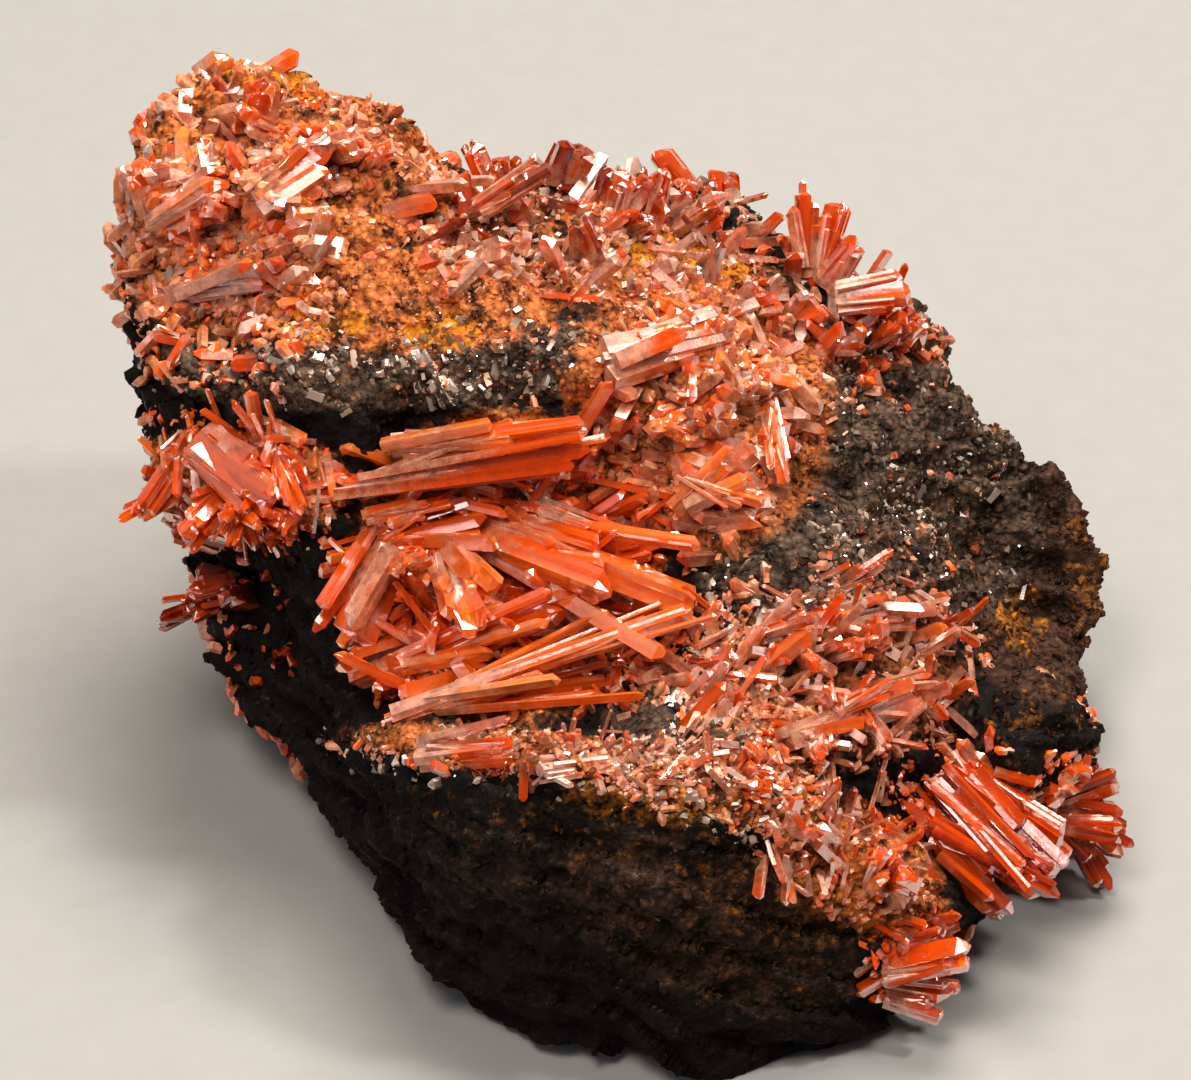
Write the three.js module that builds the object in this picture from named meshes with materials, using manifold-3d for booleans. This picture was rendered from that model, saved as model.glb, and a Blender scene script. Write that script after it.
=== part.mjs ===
// Crocoite on matrix: a hand specimen of brown-black gossan whose sloping show face holds a hollow lined
// with crossing crocoite prisms, with more clusters of crystals round its rim, right side and back.
// Millimetres, +Z up, the show face towards -Y. The origin is on the flat rest face.
import * as THREE from "three";
import { mergeVertices } from "three/addons/utils/BufferGeometryUtils.js";
import Module from "manifold-3d";

const wasm = await Module();
wasm.setup();

// Driving dimensions
const FACE_TILT = 38; // degrees above level from which the show face is seen square on
const FACE_HEIGHT = 20; // height of the show face's middle above the rest face
const GAP = 0.3; // clear space between the rock and the crystals on it
const LEDGE_STEP = 4.6; // thickness of the rock's beds
const LEDGE_DEPTH = 0.9; // how far one bed stands out past the next
const LUMP_SIZE = 7; // width of the rock's lumps
const LUMP_DEPTH = 1.3; // height of the rock's lumps
const CRUST = 1; // thickness of the crust that a cluster's crystals grow from
const FAR = 90; // further than any part of the specimen from its middle
const EYE = 300; // distance of the eye that sees the show face
const ROCK_DETAIL = 9; // how finely the rock's surface is divided
const KNOB_DETAIL = 2; // how finely a knob's surface is divided
const PATCH_DETAIL = 0; // how finely the edge of a patch of crust is divided

// The frame that places are given in, square to the show face: across to the right, up and out to the eye.
const FACE = new THREE.Matrix4()
  .makeTranslation(0, 0, FACE_HEIGHT)
  .multiply(new THREE.Matrix4().makeRotationX(THREE.MathUtils.degToRad(90 - FACE_TILT)));
const BED_NORMAL = new THREE.Vector3(0.35, 0.9, 0.25).normalize().transformDirection(FACE);
const UP = new THREE.Vector3(0, 1, 0);

// The rim of the show face as it is seen: [across, up, out] for each corner, anticlockwise from the right.
const RIM = [
  [27.6, -0.6, -16],
  [25.6, 3, -16],
  [22, 5.2, -14],
  [19.8, 7.6, -13],
  [18.6, 10.6, -14],
  [16.6, 13, -14],
  [13.4, 14.6, -14],
  [9.7, 16.2, -14],
  [7.4, 18.2, -14],
  [3.6, 19.6, -14],
  [-1, 20, -14],
  [-6.8, 19.4, -13],
  [-9.4, 22.4, -12],
  [-13.6, 24.4, -12],
  [-18.6, 26, -11],
  [-22.2, 25, -11],
  [-25, 21.4, -10],
  [-26, 16.2, -9],
  [-25.8, 12.8, -8],
  [-24.6, 8.2, -6],
  [-24, 4.6, -6],
  [-22.4, 1.8, -8],
  [-21.6, -1, -11],
  [-20.2, -4.5, -12],
  [-18.6, -8, -12],
  [-16.2, -11.4, -10],
  [-14.3, -15.8, -6],
  [-10.6, -20.6, -2],
  [-7.2, -24.2, 1],
  [-1.9, -27, 3],
  [5.6, -28.9, 4.6],
  [13.2, -28.6, 3],
  [16.2, -26.4, 2],
  [18, -23, 1],
  [19.5, -20.4, 0],
  [22, -19, -4],
  [25, -17, -6],
  [26.4, -14, -7],
  [25.4, -11, -8],
  [25.9, -7.8, -12],
  [27.4, -4.2, -15],
];
const MIDDLE = [0, -1]; // the place inside the rim that its corners are counted round

// How far out the rock's front stands at places on the show face, [across, up, out], from the summit down
// to the left rim and the hollow, across to the right, along the front lip and down the face under it.
const FRONT = [
  [-18, 18, -2.5],
  [-21, 14, -3.5],
  [-14, 21, -4.5],
  [-12, 15, -3],
  [-20, 22, -5.5],
  [-20, 8.4, 0.5],
  [-14, 9, 1.5],
  [-7, 8.8, 2],
  [0, 8.8, 1],
  [5, 8.5, -0.5],
  [-10, 12, -1],
  [0, 13, -2.5],
  [7, 13, -4.5],
  [-4, 18, -6.5],
  [3, 18, -7.5],
  [8, 17, -10],
  [12, 12, -8.5],
  [16, 10, -9.5],
  [11, 8, -4],
  [13, 4, -3],
  [17, 5, -7],
  [19, 2, -9],
  [22, 0, -12.5],
  [25, 0, -13.5],
  [24, -4, -13.5],
  [-22, 3.5, -2.5],
  [-18, 3.5, -1],
  [-15.5, 1, -0.5],
  [-20, -3, -9],
  [-17.5, -6, -8],
  [-15.6, -10, -7],
  [-13.9, -14, -4],
  [-11, -19, -1],
  [-10, 2, -1],
  [-4, 3, -0.5],
  [2, 2, 0],
  [-10, -4, -0.5],
  [-4, -3, -1],
  [2, -3, 1],
  [-6, -8, 1],
  [0, -7.5, 2.5],
  [5, -6, 3.5],
  [-11.5, -8, 1],
  [8, 4, 0],
  [8, 0, 2],
  [11, -3, 2.5],
  [14, -2, 0],
  [18, -4, -4],
  [20, -6, -5],
  [10, -8, 5],
  [15, -8, 2],
  [19, -9, -1.5],
  [13, -12, 7],
  [17, -13, 3],
  [21, -14, -1],
  [24, -14, -4],
  [22, -18, -2],
  [-12.2, -11.6, 9],
  [-8, -12.2, 11.5],
  [-3, -12.6, 12.5],
  [1, -13, 13],
  [5, -14, 12.5],
  [9, -15.5, 11.5],
  [13, -18, 9.5],
  [16.5, -20, 6],
  [-10.5, -15, 9.5],
  [-4, -17, 12],
  [3, -18, 12.5],
  [9, -20, 10.5],
  [14, -23, 7],
  [-6.5, -20, 8.5],
  [0, -23, 9.5],
  [7, -25, 8.5],
];

// How far out the rock's back stands, as for the front. The foot reaches below the rest face and is cut flat.
const BACK = [
  [0, -26, -4],
  [10, -24, -8],
  [-6, -20, -14],
  [6, -18, -20],
  [0, -12, -28],
  [-10, -8, -24],
  [12, -10, -26],
  [0, -3, -35],
  [9, -2, -33],
  [-9, 0, -31],
  [0, 6, -32],
  [-10, 10, -27],
  [9, 7, -27],
  [0, 14, -25],
  [-16, 4, -22],
  [-18, 16, -21],
  [17, 3, -24],
  [20, -6, -22],
  [22, -13, -13],
  [8, 14, -21],
];

// Rounded lumps that stand out of the rock: place as seen, radii and turn in the plane of the show face.
const KNOBS = [{ at: [23.6, -10.7, -4], radii: [4, 3, 3.8], turn: -12 }];

// The crystal clusters. Each patch of crust is [across, up, half width, half height, depth, turn], cut from
// an even coat on the rock. Each prism is [across, up, lift] of its root and its tip, then its thickness
// and its breadth, where lift is the height over the rock at that place. Each spray is a handful of prisms
// that lean out of one place: its seed, count, place, patch, aim, spread, lengths and thicknesses.
const CLUSTERS = [
  {
    name: "vug_crystals",
    crust: [
      [-7.5, 2.6, 7, 3.6, 5, 8],
      [-7, -5, 7.4, 4.6, 5, 6],
      [1.5, -4.6, 6.4, 4, 5, -15],
    ],
    prisms: [
      [-13.4, 2.6, 0.8, -0.4, 4.9, 2.8, 1.6, 2],
      [-11, 5, 0.8, -1, 5.9, 2.4, 2, 2],
      [-12.8, -7.4, 0.9, -1.8, -3.8, 3.2, 1.9, 1.7],
      [-11, -9.4, 0.8, 5.2, -3.8, 3, 1.2, 1.5],
      [-11, -0.4, 0.6, -13.2, -5.4, 3.4, 2.6, 3.2],
      [-8.4, -0.6, 0.6, -6.2, -4.6, 3.4, 2, 2.8],
      [-6.6, 1.2, 0.5, 5.4, -3.4, 2.8, 2.6, 3],
      [-12.4, 1.2, 0.9, -8.2, 2, 2.4, 0.9, 1.1],
      [-3.4, 2, 0.6, 1.4, 0.2, 2.8, 1.1, 1.6],
    ],
    sprays: [
      {
        seed: 11, count: 4, at: [-9, -2], patch: 3, aim: [-0.3, 0.1, 1],
        spread: 0.9, long: [3, 4.6], thick: [0.8, 1.5],
      },
      {
        seed: 12, count: 3, at: [0.5, -5], patch: 3, aim: [0.4, 0.2, 1],
        spread: 0.9, long: [3, 4.4], thick: [0.7, 1.3],
      },
    ],
  },
  {
    name: "left_rim_crystals",
    crust: [[-19.4, 3.4, 5.6, 3, 6, -18]],
    prisms: [
      [-21.6, 5, 0.6, -17.4, 2, 2.6, 2.4, 3],
      [-20.4, 2.6, 0.6, -16.6, 0.8, 2.6, 1.5, 2],
      [-17.2, 4.8, 0.6, -16, 1.4, 3, 0.8, 1],
    ],
    sprays: [
      {
        seed: 21, count: 3, at: [-18, 2.6], patch: 1.6, aim: [-0.2, -0.4, 1],
        spread: 0.8, long: [2.6, 4.2], thick: [0.6, 1],
      },
      {
        seed: 22, count: 3, at: [-21.4, 3.8], patch: 2, aim: [-0.7, -0.2, 0.8],
        spread: 0.7, long: [2.4, 3.6], thick: [1, 1.7],
      },
    ],
  },
  {
    name: "left_flank_crystals",
    crust: [[-20.4, -2, 2.6, 4, 5, 24]],
    prisms: [
      [-20, 0, 0.4, -22.8, 0.8, 0.8, 1.5, 1.9],
      [-19.6, -2.4, 0.4, -22, -3, 0.8, 1.4, 1.8],
    ],
    sprays: [
      {
        seed: 31, count: 3, at: [-20, -2.4], patch: 1.6, aim: [-0.8, 0, 0.8],
        spread: 0.6, long: [2, 2.8], thick: [0.9, 1.5],
      },
    ],
  },
  {
    name: "summit_crystals",
    crust: [
      [-20.6, 17, 6, 6.6, 9, 10],
      [-15.4, 21.6, 6.6, 4.2, 9, -16],
    ],
    prisms: [
      [-23, 13.4, 0.6, -16.8, 15, 1.8, 1.5, 1.9],
      [-23.6, 17.2, 0.6, -20.2, 19.4, 2.2, 2.2, 2.6],
      [-18.4, 18.4, 0.6, -14.4, 21.2, 2, 1.9, 2.2],
    ],
    sprays: [
      {
        seed: 41, count: 4, at: [-21.6, 19], patch: 3, aim: [-0.6, 0.4, 0.8],
        spread: 0.7, long: [2, 3], thick: [1.4, 2.4],
      },
      {
        seed: 42, count: 4, at: [-15.6, 22], patch: 3.4, aim: [0, 0.6, 0.8],
        spread: 0.7, long: [2, 3], thick: [1.2, 2.2],
      },
    ],
  },
  {
    name: "ridge_crystals",
    crust: [
      [-5.4, 18, 5.6, 2.6, 6, 4],
      [2.6, 17.6, 6.4, 2.8, 6, -6],
    ],
    prisms: [
      [-6.8, 17.6, 0.5, -2.4, 20.2, 1.4, 1, 1.4],
      [3, 16.8, 0.6, 3.9, 20, 1.8, 0.8, 1.2],
      [4.2, 16.6, 0.5, 7, 18.6, 1.6, 1.6, 2],
    ],
    sprays: [
      {
        seed: 52, count: 3, at: [-4, 18], patch: 2.6, aim: [0.1, 0.6, 0.8],
        spread: 0.8, long: [1.8, 2.6], thick: [1.1, 1.9],
      },
      {
        seed: 53, count: 3, at: [2.6, 17.6], patch: 2.6, aim: [0.2, 0.6, 0.8],
        spread: 0.8, long: [1.8, 2.6], thick: [1.1, 2],
      },
    ],
  },
  {
    name: "shoulder_spray",
    crust: [[13.4, 12.6, 4.4, 2.4, 6, -38]],
    prisms: [
      [11.2, 14.2, 0.4, 11.2, 18.8, 1, 1.3, 2],
      [11.8, 14, 0.4, 13, 18.2, 1, 1.2, 1.7],
      [12.4, 13.6, 0.4, 14, 16.4, 1.2, 1.2, 1.7],
      [13, 13, 0.6, 17, 13.4, 1.2, 1.4, 1.9],
    ],
    sprays: [
      {
        seed: 62, count: 3, at: [14.4, 12], patch: 2.4, aim: [0.5, 0.6, 0.6],
        spread: 0.6, long: [1.8, 2.6], thick: [1, 1.6],
      },
    ],
  },
  {
    name: "ledge_crystals",
    crust: [
      [3.8, 9.8, 5.4, 3, 5, -8],
      [7.2, 5, 4.6, 5.6, 5, 12],
    ],
    prisms: [
      [0.6, 9.6, 0.7, 7, 11.2, 2, 2.2, 2.6],
      [4.6, 3.2, 0.8, 9, 2, 2.2, 0.8, 1],
      [9.4, 7.4, 0.6, 10.2, 3, 2, 0.8, 1.1],
      [4.6, 1.6, 0.6, 8.6, 5, 2.4, 1.7, 2.2],
    ],
    sprays: [
      {
        seed: 71, count: 3, at: [7.2, 5], patch: 2.6, aim: [0.1, 0.2, 1],
        spread: 0.9, long: [2, 3], thick: [1, 2],
      },
      {
        seed: 72, count: 3, at: [3.8, 10], patch: 2.6, aim: [0.2, 0.5, 1],
        spread: 0.9, long: [2, 3], thick: [1, 1.8],
      },
    ],
  },
  {
    name: "right_slope_crystals",
    crust: [
      [12.4, -5.4, 6, 3, 5, 10],
      [13.4, -9, 5.4, 3.2, 5, 14],
    ],
    prisms: [
      [8.8, -5.4, 0.6, 18.4, -3.8, 2, 1.3, 1.6],
      [10.4, -11, 0.7, 17.8, -8.2, 2.2, 1.6, 1.8],
      [12.2, -9.8, 0.8, 16, -7.6, 2.8, 0.7, 0.8],
      [14, -8.4, 0.8, 16, -10.8, 2.6, 0.7, 0.9],
    ],
    sprays: [
      {
        seed: 81, count: 3, at: [12.6, -5], patch: 2.8, aim: [0.3, 0.1, 1],
        spread: 0.9, long: [2.2, 3.4], thick: [0.8, 1.6],
      },
      {
        seed: 82, count: 3, at: [14, -9], patch: 2.6, aim: [0.3, 0.1, 1],
        spread: 0.9, long: [2, 3.2], thick: [0.8, 1.4],
      },
    ],
  },
  {
    name: "front_lip_crystals",
    crust: [
      [-4.4, -12, 9.6, 2.6, 4, -5],
      [6.2, -13.4, 7.8, 2.7, 4, -14],
      [13.2, -16.8, 5.6, 2.9, 4, -34],
    ],
    prisms: [
      [-9.6, -11.6, 0.6, -4.4, -11.2, 1.6, 1.2, 1.5],
      [-3, -12.4, 0.6, 1, -12, 1.6, 1.1, 1.4],
    ],
    sprays: [
      {
        seed: 92, count: 3, at: [7, -13.8], patch: 3, aim: [0.2, 0.4, 1],
        spread: 0.8, long: [1.6, 2.4], thick: [1, 1.8],
      },
      {
        seed: 93, count: 3, at: [13.6, -17.4], patch: 2.4, aim: [0.4, 0.3, 1],
        spread: 0.8, long: [1.6, 2.6], thick: [1, 1.8],
      },
    ],
  },
  {
    name: "fan_crystals",
    crust: [[19.6, -14, 3, 2.6, 5, -30]],
    prisms: [
      [18.6, -13, 0.8, 24, -18.6, 2.8, 1.5, 2],
      [20.4, -13.2, 0.8, 25, -18, 2.4, 1.6, 2.4],
      [20.8, -13.6, 0.8, 25.2, -16.6, 2.2, 1.4, 2.4],
      [18.2, -15.6, 0.8, 25, -19.2, 1.6, 1.5, 2],
      [18.2, -16.2, 0.6, 22.4, -20.2, 1, 1.4, 1.8],
      [19.2, -12.8, 0.8, 22.4, -15.4, 3, 1, 1.4],
    ],
    sprays: [],
  },
  {
    name: "corner_crystals",
    crust: [[25.2, -14.6, 2.5, 2.9, 4, -10]],
    prisms: [
      [24.8, -14.2, 0.5, 28.2, -13, 1, 1.8, 2.2],
      [24.8, -14.6, 0.5, 28.6, -15.2, 1, 2, 2.2],
      [25, -14.8, 0.5, 28.4, -17, 0.4, 1.6, 2],
      [25.6, -15.2, 0.3, 27.8, -18.8, 0, 1.3, 1.6],
    ],
    sprays: [],
  },
  {
    name: "foot_crystals",
    crust: [[16.6, -22.6, 2.4, 2.6, 4, -30]],
    prisms: [
      [15.6, -23, 0.5, 20.2, -22, 1.4, 1.8, 2.2],
      [15.8, -24, 0.5, 19.2, -24.6, 1, 1.5, 2],
      [16.4, -21.8, 0.5, 19.6, -20.8, 1.4, 1, 1.3],
    ],
    sprays: [],
  },
  {
    name: "back_crystals",
    behind: true,
    crust: [
      [-6, -16, 7, 4, 5, 12],
      [4, -19, 6, 3.6, 5, -10],
    ],
    prisms: [
      [-10, -16, 0.7, -4, -14, 2.2, 1.6, 2],
      [1, -19, 0.7, 7, -17.6, 2.2, 1.4, 1.8],
    ],
    sprays: [
      {
        seed: 131, count: 4, at: [-6, -16], patch: 3, aim: [-0.1, 0.2, 1],
        spread: 0.9, long: [2.2, 3.4], thick: [1, 2],
      },
      {
        seed: 132, count: 3, at: [4, -19], patch: 2.8, aim: [0.2, 0.1, 1],
        spread: 0.9, long: [2.2, 3.4], thick: [1, 1.8],
      },
    ],
  },
];

const GOSSAN = new THREE.MeshStandardMaterial({ color: 0x33261d, roughness: 0.85, metalness: 0 });
const CROCOITE = new THREE.MeshStandardMaterial({ color: 0xc23a10, roughness: 0.25, metalness: 0 });

// A repeatable value from 0 to 1 for each point of a grid of whole numbers.
function gridValue(x, y, z) {
  const s = Math.sin(x * 127.1 + y * 311.7 + z * 74.7) * 43758.5453;
  return s - Math.floor(s);
}

// Smooth noise from -1 to 1: the grid's values blended across the cell that holds the point.
function noise(point, size) {
  const cell = point.clone().divideScalar(size);
  const low = cell.clone().floor();
  const ease = cell.sub(low).toArray().map((t) => t * t * (3 - 2 * t));
  let sum = 0;
  for (let corner = 0; corner < 8; corner++) {
    const step = [corner & 1, (corner >> 1) & 1, corner >> 2];
    const weight = step.reduce((w, s, axis) => w * (s ? ease[axis] : 1 - ease[axis]), 1);
    sum += weight * gridValue(low.x + step[0], low.y + step[1], low.z + step[2]);
  }
  return 2 * sum - 1;
}

// Rolls repeatable numbers from 0 to 1, each worked out from the last.
function dice(seed) {
  let state = seed * 7919;
  return () => {
    state = (state * 16807) % 2147483647;
    return state / 2147483647;
  };
}

// A closed geometry as a solid, with shared vertices merged and collapsed triangles left out.
function solidOf(geometry) {
  const bare = geometry.clone();
  bare.deleteAttribute("normal");
  bare.deleteAttribute("uv");
  const merged = mergeVertices(bare, 1e-4);
  const kept = [];
  for (let i = 0; i < merged.index.count; i += 3) {
    const [a, b, c] = merged.index.array.subarray(i, i + 3);
    if (a !== b && b !== c && a !== c) kept.push(a, b, c);
  }
  return new wasm.Manifold(
    new wasm.Mesh({
      numProp: 3,
      vertProperties: new Float32Array(merged.attributes.position.array),
      triVerts: new Uint32Array(kept),
    }),
  );
}

// A solid as a geometry with flat faces.
function geometryOf(solid) {
  const { vertProperties, triVerts } = solid.getMesh();
  const geometry = new THREE.BufferGeometry()
    .setAttribute("position", new THREE.BufferAttribute(vertProperties, 3))
    .setIndex(new THREE.BufferAttribute(triVerts, 1))
    .toNonIndexed();
  geometry.computeVertexNormals();
  return geometry;
}

const joined = (solids) => solids.reduce((whole, solid) => whole.add(solid));

// The largest body of a solid that a cut may have parted.
function largestBody(solid) {
  return solid.decompose().reduce((best, body) => (body.volume() > best.volume() ? body : best));
}

// How far the rock's surface stands out at a point: lumps at three sizes, and a step at each bed.
function rockRelief(point) {
  const fine = 0.5 * noise(point, LUMP_SIZE / 2) + 0.25 * noise(point, LUMP_SIZE / 4);
  const lumps = noise(point, LUMP_SIZE) + fine;
  const bed = point.dot(BED_NORMAL) / LEDGE_STEP + 0.25 * noise(point, 2 * LUMP_SIZE);
  return LUMP_DEPTH * lumps + LEDGE_DEPTH * (bed - Math.floor(bed) - 0.5);
}

// The point of a frame that the eye sees at across and up, and that stands out from its middle by out.
function seen(frame, across, up, out) {
  const closer = 1 - out / EYE;
  return new THREE.Vector3(across * closer, up * closer, out).applyMatrix4(frame);
}

const angleOf = (across, up) => Math.atan2(up - MIDDLE[1], across - MIDDLE[0]);

// The place on the rim at an angle round the middle, on the straight edge between two corners.
function rimAt(angle) {
  const turns = RIM.map(([across, up]) => (angleOf(across, up) - angle + 4 * Math.PI) % (2 * Math.PI));
  const next = turns.indexOf(Math.min(...turns));
  const last = (next + RIM.length - 1) % RIM.length;
  const share = turns[next] / (turns[next] + 2 * Math.PI - turns[last]);
  return RIM[next].map((value, axis) => value + share * (RIM[last][axis] - value));
}

// How far out a surface stands at a place: the given places weighted by how near they are.
function outAt(places, across, up) {
  let weights = 0;
  let sum = 0;
  for (const [a, u, out] of places) {
    const weight = 1 / ((a - across) ** 2 + (u - up) ** 2 + 0.6) ** 2;
    weights += weight;
    sum += weight * out;
  }
  return sum / weights;
}

// A ball's surface with shared vertices, ready to be reshaped.
function ball(detail) {
  const geometry = new THREE.IcosahedronGeometry(1, detail);
  geometry.deleteAttribute("normal");
  geometry.deleteAttribute("uv");
  return mergeVertices(geometry, 1e-5);
}

// Moves each vertex of a geometry to where place puts it, then out along its normal by relief.
function reshaped(geometry, place, relief) {
  const position = geometry.attributes.position;
  for (let i = 0; i < position.count; i++) {
    const point = place(new THREE.Vector3().fromBufferAttribute(position, i));
    position.setXYZ(i, point.x, point.y, point.z);
  }
  geometry.computeVertexNormals();
  const normal = geometry.attributes.normal;
  for (let i = 0; i < position.count; i++) {
    const point = new THREE.Vector3().fromBufferAttribute(position, i);
    point.addScaledVector(new THREE.Vector3().fromBufferAttribute(normal, i), relief(point));
    position.setXYZ(i, point.x, point.y, point.z);
  }
  return solidOf(geometry);
}

// The ball's equator goes to the rim, its near half to the front and its far half to the back.
function rockPlace(direction) {
  const reach = Math.hypot(direction.x, direction.y);
  const rim = rimAt(Math.atan2(direction.y, direction.x));
  const across = MIDDLE[0] + reach * (rim[0] - MIDDLE[0]);
  const up = MIDDLE[1] + reach * (rim[1] - MIDDLE[1]);
  const side = outAt(direction.z > 0 ? FRONT : BACK, across, up);
  const swing = Math.abs(direction.z) * Math.sqrt(1 + reach * reach);
  return seen(FACE, across, up, rim[2] + swing * (side - rim[2]));
}

// Everything under the level of the rest face.
const belowRest = solidOf(new THREE.BoxGeometry(2 * FAR, 2 * FAR, FAR).translate(0, 0, -FAR / 2));

// Puts a point of a ball on an ellipsoid in a frame, turned in the frame's plane by degrees.
function ellipsoidPlace(frame, centre, radii, turn) {
  const spin = new THREE.Matrix4().makeRotationZ(THREE.MathUtils.degToRad(turn));
  const toPart = new THREE.Matrix4().extractRotation(frame).multiply(spin).setPosition(centre);
  const reach = new THREE.Vector3(...radii);
  return (direction) => direction.multiply(reach).applyMatrix4(toPart);
}

// The rock with its knobs, made larger all round by swell.
function rockSolid(swell) {
  const relief = (point) => rockRelief(point) + swell;
  const knobs = KNOBS.map(({ at, radii, turn }) =>
    reshaped(ball(KNOB_DETAIL), ellipsoidPlace(FACE, seen(FACE, ...at), radii, turn), relief),
  );
  return joined([reshaped(ball(ROCK_DETAIL), rockPlace, relief), ...knobs]);
}

const rock = largestBody(rockSolid(0).subtract(belowRest));
const coat = rockSolid(GAP + CRUST);
const keepOut = rockSolid(GAP).add(belowRest);

const rockMesh = new THREE.Mesh(geometryOf(rock), GOSSAN);
rockMesh.name = "gossan_matrix";

// The frame of a cluster: the show face's, or the same turned round to look at the back.
function clusterFrame(behind) {
  return behind ? new THREE.Matrix4().makeRotationZ(Math.PI).multiply(FACE) : FACE;
}

// The place on the rock that is seen at across and up in a frame, raised by lift towards the eye.
function seat(frame, across, up, lift) {
  const eye = new THREE.Vector3(0, 0, EYE).applyMatrix4(frame);
  const inward = seen(frame, across, up, 0).sub(eye).normalize();
  const hit = new THREE.Raycaster(eye, inward).intersectObject(rockMesh)[0];
  return hit ? hit.point.addScaledVector(inward, -lift) : null;
}

// The ellipsoid round the place on the rock that cuts a patch of crust from the coat.
function patchSolid(frame, [across, up, halfWidth, halfHeight, depth, turn]) {
  const centre = seat(frame, across, up, 0);
  const place = ellipsoidPlace(frame, centre, [halfWidth, halfHeight, depth], turn);
  return reshaped(ball(PATCH_DETAIL), place, (point) => 0.5 * rockRelief(point));
}

// A four-sided prism from root to tip, its point pushed to one side, turned about its length by twist.
function prismSolid(root, tip, thick, broad, twist) {
  const length = root.distanceTo(tip);
  const point = Math.min(0.7 * thick, 0.3 * length);
  const column = length - point;
  const geometry = new THREE.CylinderGeometry(Math.SQRT1_2, Math.SQRT1_2, column, 4, 1);
  geometry.rotateY(Math.PI / 4).scale(broad, 1, thick).translate(0, column / 2, 0);
  const position = geometry.attributes.position;
  for (let i = 0; i < position.count; i++) {
    const onAxis = Math.hypot(position.getX(i), position.getZ(i)) < 1e-6;
    if (onAxis && position.getY(i) > column / 2) position.setXYZ(i, 0.25 * broad, length, 0.1 * thick);
  }
  const along = tip.clone().sub(root).normalize();
  const lean = new THREE.Quaternion().setFromUnitVectors(UP, along);
  geometry.rotateY(twist).applyQuaternion(lean).translate(root.x, root.y, root.z);
  return solidOf(geometry);
}

// The prisms of a spray, each leaning away from the spray's aim by chance.
function spraySolids(frame, { seed, count, at, patch, aim, spread, long, thick }) {
  const roll = dice(seed);
  const between = ([low, high]) => low + (high - low) * roll();
  return Array.from({ length: count }, () => {
    const across = at[0] + patch * (2 * roll() - 1);
    const up = at[1] + 0.6 * patch * (2 * roll() - 1);
    const lean = aim.map((part) => part + spread * (2 * roll() - 1));
    const length = between(long);
    const width = between(thick);
    const broad = width * (1 + 0.6 * roll());
    const twist = Math.PI * roll();
    const root = seat(frame, across, up, -0.3 * length);
    if (!root) return null;
    const along = new THREE.Vector3(...lean).normalize().transformDirection(frame);
    return prismSolid(root, root.clone().addScaledVector(along, 1.3 * length), width, broad, twist);
  }).filter(Boolean);
}

// A prism laid by hand. An end that is seen past the rock's edge is as far from the eye as the other.
function laidPrism(frame, [across, up, lift, tipAcross, tipUp, tipLift, thick, broad]) {
  const root = seat(frame, across, up, lift);
  const out = root.clone().applyMatrix4(frame.clone().invert()).z - lift + tipLift;
  const tip = seat(frame, tipAcross, tipUp, tipLift) ?? seen(frame, tipAcross, tipUp, out);
  return prismSolid(root, tip, thick, broad, across);
}

function clusterMesh({ name, behind, crust, prisms, sprays }) {
  const frame = clusterFrame(behind);
  const grown = joined([
    joined(crust.map((patch) => patchSolid(frame, patch))).intersect(coat),
    ...prisms.map((prism) => laidPrism(frame, prism)),
    ...sprays.flatMap((spray) => spraySolids(frame, spray)),
  ]);
  const mesh = new THREE.Mesh(geometryOf(largestBody(grown.subtract(keepOut))), CROCOITE);
  mesh.name = name;
  return mesh;
}

const specimen = new THREE.Group();
specimen.add(rockMesh, ...CLUSTERS.map(clusterMesh));

export default specimen;
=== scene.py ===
"""Crocoite on matrix: orange-red crocoite prisms in a hollow of brown-black gossan, with druse all round.

Places are read in millimetres on the show face, as the part's solids are: across to the right, up and out
towards an eye that looks square at the face. Every piece rides on the one body of the specimen.
"""
import math

import bpy
import numpy as np
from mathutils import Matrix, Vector
from mathutils.bvhtree import BVHTree


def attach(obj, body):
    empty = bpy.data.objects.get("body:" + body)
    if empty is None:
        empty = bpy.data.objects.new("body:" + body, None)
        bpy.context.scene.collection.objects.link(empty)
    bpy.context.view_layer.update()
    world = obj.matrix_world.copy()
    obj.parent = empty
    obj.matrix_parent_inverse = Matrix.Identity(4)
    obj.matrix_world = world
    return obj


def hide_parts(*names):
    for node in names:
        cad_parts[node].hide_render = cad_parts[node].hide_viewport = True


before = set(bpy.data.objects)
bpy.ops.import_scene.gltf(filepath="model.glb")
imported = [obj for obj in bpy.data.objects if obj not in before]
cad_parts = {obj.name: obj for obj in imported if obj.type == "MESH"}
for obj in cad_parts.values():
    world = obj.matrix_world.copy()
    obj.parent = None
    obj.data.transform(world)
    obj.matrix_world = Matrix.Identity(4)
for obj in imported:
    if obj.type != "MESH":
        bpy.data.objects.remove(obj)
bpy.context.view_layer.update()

MM = 0.001
FACE_TILT = math.radians(38)
FACE_MIDDLE = np.array([0.0, 0.0, 20.0])
EYE = 300.0
ACROSS = np.array([1.0, 0.0, 0.0])
UP = np.array([0.0, math.sin(FACE_TILT), math.cos(FACE_TILT)])
OUT = np.array([0.0, -math.cos(FACE_TILT), math.sin(FACE_TILT)])
SHOW_FACE = np.array([ACROSS, UP, OUT])
BACK_FACE = SHOW_FACE * np.array([-1.0, -1.0, 1.0])
PICTURE_WIDTH = 1191 / 18.5  # millimetres across the picture at the face's middle
SENSOR = 36.0

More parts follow.
